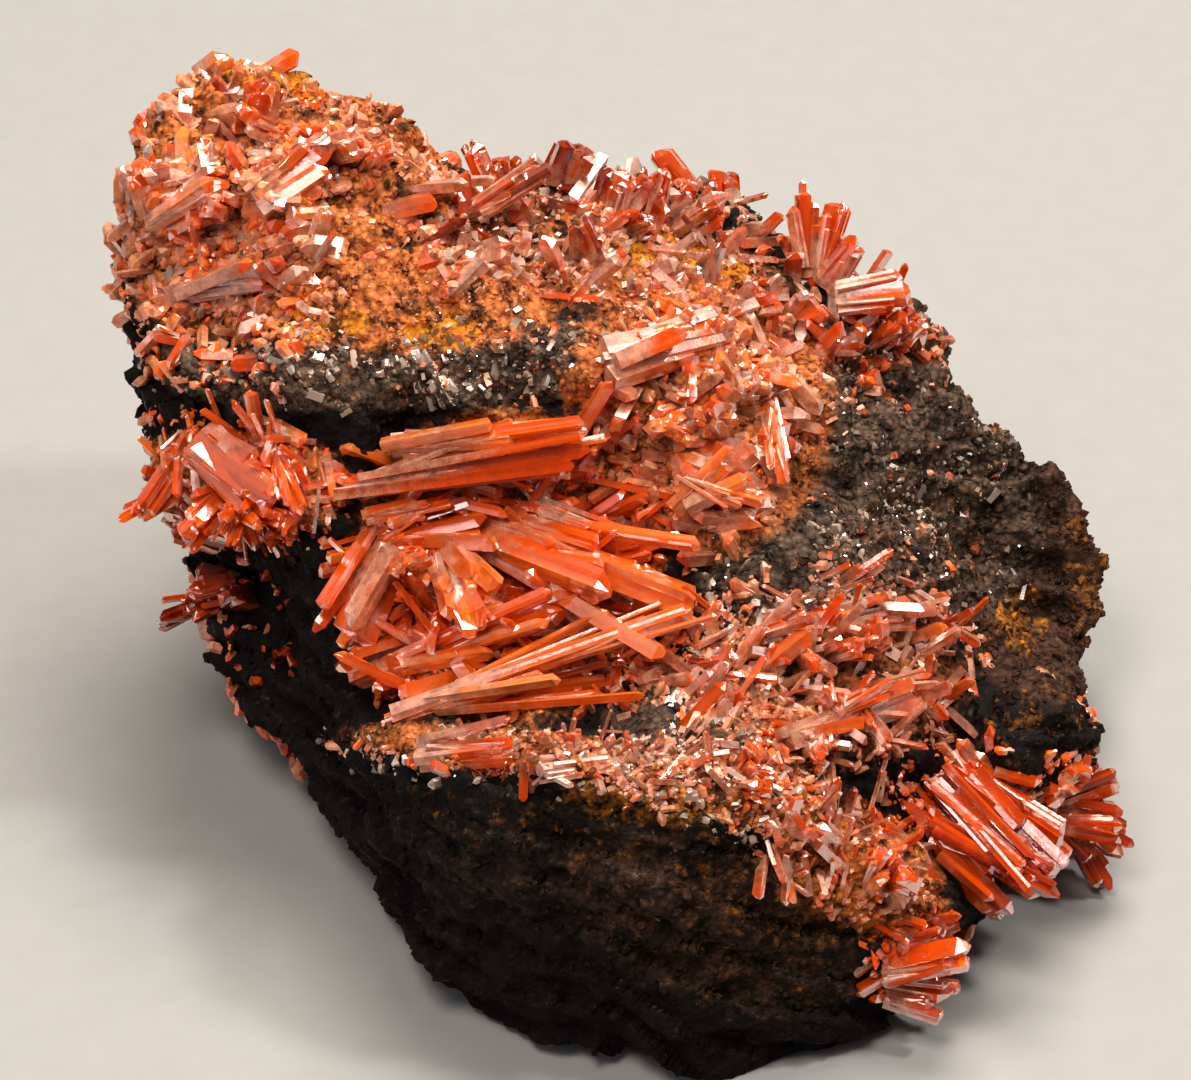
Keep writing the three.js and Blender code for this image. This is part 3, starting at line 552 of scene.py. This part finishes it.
def weathered_gossan():
    """Gossan: iron oxide left by weathering, matt brown-black, stained with ochre and rust, gritty, with dark patches
    by noise.
    """
    material, tree, shader = blank_material("weathered_gossan")
    place = add_node(tree, "ShaderNodeTexCoord").outputs["Object"]
    cloud = add_node(tree, "ShaderNodeTexNoise", {
        "Vector": place, "Scale": per_metre(3.5), "Detail": 6, "Roughness": 0.65,
    }).outputs["Fac"]
    speck = add_node(tree, "ShaderNodeTexNoise", {
        "Vector": place, "Scale": per_metre(0.9), "Detail": 5, "Roughness": 0.7,
    }).outputs["Fac"]
    grit = add_node(tree, "ShaderNodeTexVoronoi", {"Vector": place, "Scale": per_metre(0.42)})
    colour = add_node(tree, "ShaderNodeMix", {
        0: cloud, 6: linear("#050403"), 7: linear("#1a120d"),
    }, data_type="RGBA").outputs[2]
    for stain, pale, deep, start in (
        ("umber", "#5c3e2e", "#22150e", 0.6),
        ("druse", "#705a4a", "#17100c", 0.7),
        ("rust", "#d88448", "#662a0e", 0.66),
        ("ochre", "#dc8c22", "#8a4c10", 0.78),
    ):
        strength = add_node(tree, "ShaderNodeAttribute", attribute_name=stain).outputs["Fac"]
        level = add_node(tree, "ShaderNodeMath", {0: speck, 1: 0.9, 2: strength}, operation="MULTIPLY_ADD")
        mask = add_node(tree, "ShaderNodeMapRange", {
            "Value": level.outputs[0], "From Min": start, "From Max": start + 0.35,
        }).outputs[0]
        tone = add_node(tree, "ShaderNodeMix", {
            0: grit.outputs["Distance"], 6: linear(pale), 7: linear(deep),
        }, data_type="RGBA").outputs[2]
        colour = add_node(tree, "ShaderNodeMix", {0: mask, 6: colour, 7: tone}, data_type="RGBA").outputs[2]
    # Dark brown-black patches laid by noise over the stains
    patch_noise = add_node(tree, "ShaderNodeTexNoise", {
        "Vector": place, "Scale": per_metre(1.5), "Detail": 5, "Roughness": 0.75,
    }).outputs["Fac"]
    dark_patches = add_node(tree, "ShaderNodeMapRange", {
        "Value": patch_noise, "From Min": 0.5, "From Max": 0.6, "To Max": 0.9,
    }).outputs[0]
    colour = add_node(tree, "ShaderNodeMix", {
        0: dark_patches, 6: colour, 7: linear("#1a0f09"),
    }, data_type="RGBA").outputs[2]
    shine = add_node(tree, "ShaderNodeSeparateColor", {"Color": grit.outputs["Color"]}).outputs[0]
    rough = add_node(tree, "ShaderNodeMapRange", {
        "Value": shine, "From Min": 0.0, "From Max": 0.25, "To Min": 0.28, "To Max": 0.78,
    }).outputs[0]
    height = add_node(tree, "ShaderNodeMath", {
        0: grit.outputs["Distance"], 1: -0.6, 2: speck,
    }, operation="MULTIPLY_ADD").outputs[0]
    bump = add_node(tree, "ShaderNodeBump", {"Strength": 0.8, "Distance": 0.25 * MM, "Height": height})
    shader.inputs["Specular IOR Level"].default_value = 0.2
    tree.links.new(colour, shader.inputs["Base Color"])
    tree.links.new(rough, shader.inputs["Roughness"])
    tree.links.new(bump.outputs[0], shader.inputs["Normal"])
    return material


def crocoite(name, transmission, clean_roughness, dust_and_sheen_from, shine):
    """Crocoite: lead chromate, an orange-red crystal with a bright lustre, clean at its tips, dusted at its root.

    tint runs from deep red-brown through orange to pale orange, and stripe lines each prism lengthwise. Where
    dust lies the face is brown to pale pinkish and less glossy: the brown is dust, and the pale pinkish end is
    painted sheen, light on the faces put into the colour along with the dust.
    """
    material, tree, shader = blank_material(name)
    place = add_node(tree, "ShaderNodeTexCoord").outputs["Object"]
    tint = add_node(tree, "ShaderNodeAttribute", attribute_name="tint").outputs["Fac"]
    along = add_node(tree, "ShaderNodeAttribute", attribute_name="along").outputs["Fac"]
    streak = add_node(tree, "ShaderNodeTexNoise", {
        "Vector": place, "Scale": per_metre(0.7), "Detail": 4, "Roughness": 0.7,
    }).outputs["Fac"]
    drift = add_node(tree, "ShaderNodeTexNoise", {
        "Vector": place, "Scale": per_metre(3), "Detail": 5, "Roughness": 0.7,
    }).outputs["Fac"]
    stripe = add_node(tree, "ShaderNodeAttribute", attribute_name="stripe").outputs["Fac"]
    lined = add_node(tree, "ShaderNodeMath", {0: stripe, 1: 0.45, 2: tint}, operation="MULTIPLY_ADD").outputs[0]
    shade = add_node(tree, "ShaderNodeMath", {0: streak, 1: 0.45, 2: lined}, operation="MULTIPLY_ADD").outputs[0]
    low = add_node(tree, "ShaderNodeMapRange", {"Value": shade, "From Min": 0.42, "From Max": 0.95}).outputs[0]
    high = add_node(tree, "ShaderNodeMapRange", {"Value": shade, "From Min": 1.02, "From Max": 1.5}).outputs[0]
    red = add_node(tree, "ShaderNodeMix", {
        0: low, 6: linear("#6e1602"), 7: linear("#e85a04"),
    }, data_type="RGBA").outputs[2]
    pale = add_node(tree, "ShaderNodeMix", {
        0: high, 6: red, 7: linear("#f58e3c"),
    }, data_type="RGBA").outputs[2]
    dust_and_sheen = add_node(tree, "ShaderNodeAttribute", attribute_name="dust_and_sheen").outputs["Fac"]
    dust_and_sheen_base = add_node(tree, "ShaderNodeMath", {0: drift, 1: dust_and_sheen}, operation="ADD").outputs[0]
    dust_and_sheen_level = add_node(tree, "ShaderNodeMath", {0: along, 1: -0.35, 2: dust_and_sheen_base}, operation="MULTIPLY_ADD").outputs[0]
    dust_and_sheen_mask = add_node(tree, "ShaderNodeMapRange", {
        "Value": dust_and_sheen_level, "From Min": dust_and_sheen_from, "From Max": dust_and_sheen_from + 0.2, "To Max": 0.85,
    }).outputs[0]
    patchy = add_node(tree, "ShaderNodeMapRange", {"Value": streak, "From Min": 0.36, "From Max": 0.62}).outputs[0]
    # Dust colour, brown to pale pinkish: the brown is dust, the pale pinkish end is painted sheen standing in for
    # light on the faces
    dust_and_sheen_colour = add_node(tree, "ShaderNodeMix", {
        0: patchy, 6: linear("#84431f"), 7: linear("#e0a27c"),
    }, data_type="RGBA").outputs[2]
    colour = add_node(tree, "ShaderNodeMix", {0: dust_and_sheen_mask, 6: pale, 7: dust_and_sheen_colour}, data_type="RGBA").outputs[2]
    rough = add_node(tree, "ShaderNodeMapRange", {
        "Value": dust_and_sheen_mask, "To Min": clean_roughness, "To Max": 0.45,
    }).outputs[0]
    bump = add_node(tree, "ShaderNodeBump", {"Strength": 0.25, "Distance": 0.1 * MM, "Height": streak})
    tree.links.new(colour, shader.inputs["Base Color"])
    tree.links.new(rough, shader.inputs["Roughness"])
    tree.links.new(bump.outputs[0], shader.inputs["Normal"])
    shader.inputs["IOR"].default_value = 1.55
    shader.inputs["Specular IOR Level"].default_value = shine
    shader.inputs["Transmission Weight"].default_value = transmission
    return material


def grey_druse():
    """Druse: a frost of tiny grey and brownish glassy crystals that sparkle on the dark ground; pale patches are
    painted sheen.
    """
    material, tree, shader = blank_material("grey_druse")
    tint = add_node(tree, "ShaderNodeAttribute", attribute_name="tint").outputs["Fac"]
    along = add_node(tree, "ShaderNodeAttribute", attribute_name="along").outputs["Fac"]
    colour = add_node(tree, "ShaderNodeMix", {
        0: tint, 6: linear("#4a3426"), 7: linear("#cbb09c"),
    }, data_type="RGBA").outputs[2]
    rough = add_node(tree, "ShaderNodeMapRange", {"Value": along, "To Min": 0.4, "To Max": 0.1}).outputs[0]
    tree.links.new(colour, shader.inputs["Base Color"])
    tree.links.new(rough, shader.inputs["Roughness"])
    shader.inputs["IOR"].default_value = 1.6
    shader.inputs["Transmission Weight"].default_value = 0.3
    return material


# The rock

def fine_rock():
    """The rock's solid remeshed fine, then moved along its normals by noise, thin beds and grains."""
    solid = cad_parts["gossan_matrix"]
    made = bpy.data.objects.new("rock_draft", solid.data.copy())
    bpy.context.scene.collection.objects.link(made)
    made.modifiers.new("merge", "WELD").merge_threshold = 0.001 * MM
    remesh = made.modifiers.new("remesh", "REMESH")
    remesh.mode = "VOXEL"
    remesh.voxel_size = VOXEL * MM
    smooth = made.modifiers.new("smooth", "SMOOTH")
    smooth.factor = 0.5
    smooth.iterations = 6
    depsgraph = bpy.context.evaluated_depsgraph_get()
    drafted = bpy.data.meshes.new_from_object(made.evaluated_get(depsgraph))
    points, triangles, normals = arrays_of(drafted)
    bpy.data.objects.remove(made)
    bed = points @ BED_NORMAL / 2.3 + 0.7 * noise(points, 7, 5)
    relief = 0.42 * noise(points, 3.4, 1) + 0.3 * noise(points, 1.7, 2) + 0.2 * noise(points, 0.9, 3)
    relief += 0.12 * noise(points, 0.5, 4) + 0.75 * (bed - np.floor(bed) - 0.5)
    relief += 0.45 * (0.5 - grains(points, 1.9, 11)) + 0.3 * (0.5 - grains(points, 0.85, 21))
    above_rest = np.clip(points[:, 2], 0, 1)
    points = points + normals * (relief * above_rest)[:, None]
    points[:, 2] = np.maximum(points[:, 2], 0)
    return points, triangles, normals


def stain_strengths(points, facing):
    """How strongly each kind of stain shows at each point: its ellipses in front, and noise behind."""
    places = as_seen(points)
    strengths = {}
    for kind, reach in (("ochre", 0.45), ("rust", 0.6), ("umber", 0.9), ("druse", 0.8)):
        front = np.zeros(len(points))
        for stain, *ellipse, strength in STAINS:
            if stain == kind:
                front = np.maximum(front, strength * inside_ellipse(places, *ellipse))
        behind = reach * np.clip(0.9 * noise(points, 7, len(kind)) + 0.2, 0, 1)
        turned = np.clip(facing / 0.3 + 0.5, 0, 1)
        strengths[kind] = turned * front + (1 - turned) * behind
    return strengths


# Crystals

def rock_tree():
    """The rock's solid as a tree of triangles that sight lines can be cast at, in millimetres."""
    points, triangles, _ = arrays_of(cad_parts["gossan_matrix"].data)
    return BVHTree.FromPolygons(points.tolist(), triangles.tolist())


def seat(tree, axes, across, up, lift):
    """The place on the rock that is seen at across and up, raised by lift towards the eye, or None."""
    eye = FACE_MIDDLE + EYE * axes[2]
    inward = seen_point(axes, across, up, 0) - eye
    inward /= np.linalg.norm(inward)
    hit = tree.ray_cast(Vector(eye), Vector(inward))[0]
    return None if hit is None else np.array(hit) - lift * inward


def laid_ends(tree, axes, laid):
    """Root and tip of a listed crystal. A tip seen past the rock's edge is as far off as the root."""
    across, up, lift, tip_across, tip_up, tip_lift = laid[:6]
    root = seat(tree, axes, across, up, lift)
    tip = seat(tree, axes, tip_across, tip_up, tip_lift)
    if tip is None:
        out = (root - FACE_MIDDLE) @ axes[2] - lift + tip_lift
        tip = seen_point(axes, tip_across, tip_up, out)
    return root, tip


def spray_crystals(tree, axes, spray):
    """Root, tip, thickness, breadth and twist of each crystal of a spray, by the rolls its solid used."""
    seed, count, place, patch, aim, spread, long, thick = spray
    roll = dice(seed)
    made = []
    for _ in range(count):
        across = place[0] + patch * (2 * next(roll) - 1)
        up = place[1] + 0.6 * patch * (2 * next(roll) - 1)
        lean = np.array([part + spread * (2 * next(roll) - 1) for part in aim])
        length = long[0] + (long[1] - long[0]) * next(roll)
        width = thick[0] + (thick[1] - thick[0]) * next(roll)
        broad = width * (1 + 0.6 * next(roll))
        twist = math.pi * next(roll)
        root = seat(tree, axes, across, up, -0.3 * length)
        if root is not None:
            along = lean / np.linalg.norm(lean) @ axes
            made.append((root, root + 1.3 * length * along, width, broad, twist))
    return made


def cluster_crystals(tree, name):
    """All the main crystals of a cluster: root, tip, thickness, breadth and twist."""
    axes = BACK_FACE if name == "back_crystals" else SHOW_FACE
    made = [(*laid_ends(tree, axes, laid), laid[6], laid[7], laid[0]) for laid in LAID[name]]
    for spray in SPRAYS[name]:
        made += spray_crystals(tree, axes, spray)
    return made


def bundle(rng, root, tip, thick, broad, twist):
    """Each crystal as a bundle that fills its breadth: a main prism half as broad, and slim mates beside it."""
    count = len(root)
    axis = tip - root
    turn = turned_to(axis / np.linalg.norm(axis, axis=1, keepdims=True))
    parts = [(root, tip, thick * 0.52, broad * 0.52, twist)]
    for _ in range(MATES):
        x = broad * rng.uniform(-0.42, 0.42, count)
        z = thick * rng.uniform(-0.42, 0.42, count)
        side = np.stack([
            x * np.cos(twist) + z * np.sin(twist), np.zeros(count), z * np.cos(twist) - x * np.sin(twist),
        ], -1)
        side = np.einsum("nij,nj->ni", turn, side)
        start = rng.uniform(-0.05, 0.15, count)[:, None]
        end = rng.uniform(0.55, 1.02, count)[:, None]
        skew = 0.06 * np.linalg.norm(axis, axis=1, keepdims=True) * rng.normal(size=(count, 3))
        size = rng.uniform(0.16, 0.42, count)
        parts.append((
            root + axis * start + side, root + axis * end + side + skew, thick * size, broad * size,
            twist + 0.15 * rng.normal(size=count),
        ))
    return [np.concatenate(group) for group in zip(*parts)]


def striped_prisms(rng, root, tip, thick, broad, twist, tint, dust_and_sheen, corners, rough, rings=3):
    """Prisms with stripes down their sides, and the tint, dust with painted sheen, place along and stripe of each
    point.
    """
    count = len(root)
    outline = blocky_outline(rng, count, corners, rough)
    point = np.minimum(0.7 * thick, 0.3 * np.linalg.norm(tip - root, axis=1)) * rng.uniform(0.3, 1.1, count)
    chisel = rng.uniform(-0.3, 0.3, (count, 2))
    points, triangles, along = prisms(root, tip, thick, broad, twist, outline, point, chisel, rings)
    points[:, 2] = np.maximum(points[:, 2], 0)
    each = rings * corners
    stripe = np.tile(rng.random((count, 1, corners)), (1, rings, 1)).reshape(-1)
    shown = {"tint": np.repeat(tint, each), "dust_and_sheen": np.repeat(dust_and_sheen, each), "along": along, "stripe": stripe}
    return points, triangles, shown


def cluster_piece(tree, name, material):
    """One cluster of main crystals, each a bundle of striped prisms, in place of its solid."""
    rng = np.random.default_rng(sum(map(ord, name)))
    root, tip, thick, broad, twist = (np.array(group, float) for group in zip(*cluster_crystals(tree, name)))
    root, tip, thick, broad, twist = bundle(rng, root, tip, thick, broad, twist)
    dark, pale, dust_and_sheen = CLUSTER_TINT[name]
    tint = rng.uniform(dark, pale, len(root))
    dust_and_sheen_amount = dust_and_sheen + 0.08 * rng.normal(size=len(root))
    grown = striped_prisms(rng, root, tip, thick, broad, twist, tint, dust_and_sheen_amount, MAIN_CORNERS, 0.07)
    made = mesh_object(name + "_grown", *grown)
    made.data.materials.append(material)
    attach(made, "root")
    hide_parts(name)


def scattered(rng, rock, weight, count, fields=()):
    """Random places on the rock, by each triangle's area times weight, with the normal and the fields there."""
    points, triangles, normals = rock
    a, b, c = (points[triangles[:, i]] for i in range(3))
    chance = np.linalg.norm(np.cross(b - a, c - a), axis=1) * weight[triangles].mean(axis=1)
    chosen = triangles[rng.choice(len(triangles), count, p=chance / chance.sum())]
    share = rng.dirichlet((1, 1, 1), count)
    place, normal = ((values[chosen] * share[..., None]).sum(axis=1) for values in (points, normals))
    return place, normal, [(values[chosen] * share).sum(axis=1) for values in fields]


def coat_batch(rng, rock, weight, per_area, thin, fat, dark, pale, dust_and_sheen):
    """Small crystals on the rock where weight says, leaning with their neighbours, more thin than fat."""
    points, triangles, _ = rock
    a, b, c = (points[triangles[:, i]] for i in range(3))
    area = 0.5 * np.linalg.norm(np.cross(b - a, c - a), axis=1)
    weight = weight * np.clip(0.62 + 1.1 * noise(points, 2.6, 61) + 0.5 * noise(points, 1.1, 62), 0.06, 1)
    count = max(3, int(per_area * (area * weight[triangles].mean(axis=1)).sum()))
    place, normal, _ = scattered(rng, rock, weight, count)
    flow = np.stack([noise(place, 4.5, 40 + part) for part in range(3)], -1)
    lean = 0.5 * normal + 1.3 * flow + 0.4 * rng.normal(size=(count, 3))
    rise = (lean * normal).sum(axis=1, keepdims=True)
    lean += normal * np.maximum(0.3 - rise, 0)
    lean /= np.linalg.norm(lean, axis=1, keepdims=True)
    thick = thin * (fat / thin) ** (rng.random(count) ** 2.2)
    length = thick * rng.uniform(1.4, 4, count)
    root = place - lean * (0.5 * length)[:, None]
    tip = place + lean * (0.5 * length)[:, None]
    broad = thick * rng.uniform(1, 1.7, count)
    drift = 0.5 + 0.6 * noise(place, 2.4, 51) + 0.18 * rng.normal(size=count)
    tint = dark + (pale - dark) * np.clip(drift, 0, 1)
    dust_and_sheen_amount = dust_and_sheen + 0.08 * rng.normal(size=count)
    made = (root, tip, thick, broad, np.pi * rng.random(count), tint, dust_and_sheen_amount)
    large = thick > CHISEL_FROM
    return joined([
        striped_prisms(rng, *(values[~large] for values in made), TINY_CORNERS, 0.15, 2),
        striped_prisms(rng, *(values[large] for values in made), SMALL_CORNERS, 0.12, 3),
    ])


def coat_piece(rock, normals, name, material):
    """One piece of coat: all the patches of small crystals that share its name, joined."""
    rng = np.random.default_rng(sum(map(ord, name)))
    axes = BACK_FACE if name == "back_coat" else SHOW_FACE
    places = as_seen(rock[0], axes)
    facing = normals @ axes[2]
    batches = []
    for piece, *ellipse, per_area, thin, fat, dark, pale, dust_and_sheen in COAT:
        if piece == name:
            weight = inside_ellipse(places, *ellipse) * (facing > 0)
            batches.append(coat_batch(rng, rock, weight, per_area, thin, fat, dark, pale, dust_and_sheen))
    place_coat(name, batches, material)


def place_coat(name, batches, material):
    """Joins batches into one piece of the specimen."""
    made = mesh_object(name, *joined(batches))
    made.data.materials.append(material)
    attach(made, "root")


def straws(rock, facing, material):
    """Slim prisms lying over each other on the show face, each patch with a heading of its own."""
    rng = np.random.default_rng(17)
    places = as_seen(rock[0])
    batches = []
    for across, up, half_width, half_height, count, long, thick, heading, spread, lift, tints, dust_and_sheen in STRAWS:
        weight = inside_ellipse(places, across, up, half_width, half_height, 0) * (facing > 0.1)
        place, _, _ = scattered(rng, rock, weight, count)
        angle = np.radians(heading + spread * rng.normal(size=count)) + np.pi * rng.integers(0, 2, count)
        rise = lift * rng.uniform(0.2, 1.6, count)
        lean = np.stack([np.cos(angle), np.sin(angle), rise], -1) @ SHOW_FACE
        lean /= np.linalg.norm(lean, axis=1, keepdims=True)
        length = rng.uniform(*long, count)
        width = rng.uniform(*thick, count)
        root = place - lean * (0.25 * length)[:, None]
        tip = place + lean * (0.75 * length)[:, None]
        broad = width * rng.uniform(1, 1.6, count)
        twist = np.pi * rng.random(count)
        tint = rng.uniform(*tints, count)
        dust_and_sheen_amount = dust_and_sheen + 0.12 * rng.normal(size=count)
        batches.append(striped_prisms(rng, root, tip, width, broad, twist, tint, dust_and_sheen_amount, LOOSE_CORNERS, 0.08))
    place_coat("loose_prisms", batches, material)


def drift_coat(rock, facing, material):
    """Small crystals in drifts on the back and sides, where noise is high."""
    rng = np.random.default_rng(29)
    points = rock[0]
    drift = np.clip(3 * noise(points, 9, 8) - 0.4, 0, 1) * (facing < 0.05) * (points[:, 2] > 2.5)
    place_coat("drift_coat", [coat_batch(rng, rock, drift, 5, 0.16, 0.9, 0.1, 0.65, 0.12)], material)


def crust_piece(rock, stains, name, weight, count, fine, coarse, material):
    """Grains crusted on the rock where weight says, each stained as the rock under it is, more or less so."""
    rng = np.random.default_rng(sum(map(ord, name)))
    weight = weight * (rock[0][:, 2] > 1)
    place, normal, fields = scattered(rng, rock, weight, count, stains.values())
    size = fine * (coarse / fine) ** (rng.random(count) ** 2)
    points, triangles = lumps(rng, place - normal * (0.1 * size)[:, None], size)
    each = len(points) // count
    shown = {
        kind: np.repeat(values * rng.uniform(0.6, 1.3, count), each) for kind, values in zip(stains, fields)
    }
    place_coat(name, [(points, triangles, shown)], material)


# Stage, light and camera

def floor():
    """A wide floor of pale matt paper, faintly mottled, that the specimen rests on."""
    half = 900.0
    corners = np.array([[-half, -half, 0], [half, -half, 0], [half, half, 0], [-half, half, 0]])
    made = mesh_object("floor", corners - [0, 0, 0.01], [[0, 1, 2], [0, 2, 3]])
    material, tree, shader = blank_material("pale_paper")
    place = add_node(tree, "ShaderNodeTexCoord").outputs["Object"]
    fibre = add_node(tree, "ShaderNodeTexNoise", {"Vector": place, "Scale": per_metre(2), "Detail": 4}).outputs["Fac"]
    tone = add_node(tree, "ShaderNodeMix", {
        0: fibre, 6: linear("#96948f"), 7: linear("#9d9b97"),
    }, data_type="RGBA").outputs[2]
    tree.links.new(tone, shader.inputs["Base Color"])
    shader.inputs["Roughness"].default_value = 0.9
    made.data.materials.append(material)


def softbox(name, place, size, power, colour):
    """A square soft light at a place in millimetres, aimed at the specimen."""
    light = bpy.data.lights.new(name, "AREA")
    light.size = size * MM
    light.energy = power
    light.color = linear(colour)[:3]
    made = bpy.data.objects.new(name, light)
    bpy.context.scene.collection.objects.link(made)
    made.location = Vector(place) * MM
    aim = Vector(FACE_MIDDLE) * MM - made.location
    made.rotation_euler = aim.to_track_quat("-Z", "Y").to_euler()


def lights():
    """A soft key from above and behind, two small ones for glints, a weak fill and an even, dim room."""
    softbox("top_softbox", (30, 130, 340), 190, 1.5, "#fff7ee")
    softbox("glint_light", (200, -20, 300), 40, 0.5, "#ffffff")
    softbox("front_light", (-70, -130, 320), 120, 0.66, "#fffaf4")
    softbox("left_fill", (-320, -180, 160), 240, 0.3, "#f4f4ff")
    world = bpy.data.worlds.new("studio")
    world.use_nodes = True
    world.node_tree.nodes["Background"].inputs["Color"].default_value = linear("#e8e8ea")
    world.node_tree.nodes["Background"].inputs["Strength"].default_value = 0.18
    bpy.context.scene.world = world


def camera():
    """The eye, square to the show face, with a lens that takes in the picture's width at its middle."""
    data = bpy.data.cameras.new("camera")
    data.sensor_width = SENSOR
    data.lens = SENSOR * EYE / PICTURE_WIDTH
    data.clip_start = 10 * MM
    made = bpy.data.objects.new("camera", data)
    bpy.context.scene.collection.objects.link(made)
    made.location = Vector(FACE_MIDDLE + EYE * OUT) * MM
    made.rotation_euler = (math.pi / 2 - FACE_TILT, 0, 0)
    bpy.context.scene.camera = made


def specimen():
    """The rock, its clusters, their coats of small crystals and the grains crusted on the rock."""
    points, triangles, normals = fine_rock()
    facing = normals @ OUT
    stains = stain_strengths(points, facing)
    rock = mesh_object("gossan", points, triangles, stains, smooth=True)
    rock.data.materials.append(weathered_gossan())
    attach(rock, "root")
    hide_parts("gossan_matrix")
    tree = rock_tree()
    clear = crocoite("clear_crocoite", 0.5, 0.06, 0.42, 0.62)
    for name in LAID:
        cluster_piece(tree, name, clear)
    small = crocoite("small_crocoite", 0.15, 0.16, 0.28, 0.5)
    surface = (points, triangles, normals)
    # Grey druse material, also used for the pale crystals that are painted sheen
    druse = grey_druse()
    for name in dict.fromkeys(patch[0] for patch in COAT):
        if name == "grey_druse":
            coat_piece(surface, normals, name, druse)
        else:
            coat_piece(surface, normals, name, small)
    straws(surface, facing, clear)
    drift_coat(surface, facing, small)
    gossan = rock.data.materials[0]
    in_front, behind = facing > 0, facing <= 0
    rusty = np.clip(stains["rust"] + 1.2 * stains["ochre"], 0.02, 1) * in_front
    gritty = np.clip(stains["druse"] + stains["umber"] + 0.12, 0, 1) * (1 - stains["rust"]) * in_front
    crust_piece(surface, stains, "rust_crust", rusty, 7500, 0.09, 0.38, gossan)
    crust_piece(surface, stains, "dark_grit", gritty, 5500, 0.09, 0.42, gossan)
    crust_piece(surface, stains, "back_crust", behind, 6000, 0.12, 0.5, gossan)


specimen()
floor()
lights()
camera()
bpy.context.scene.view_settings.view_transform = "Standard"
bpy.context.scene.view_settings.look = "Medium High Contrast"
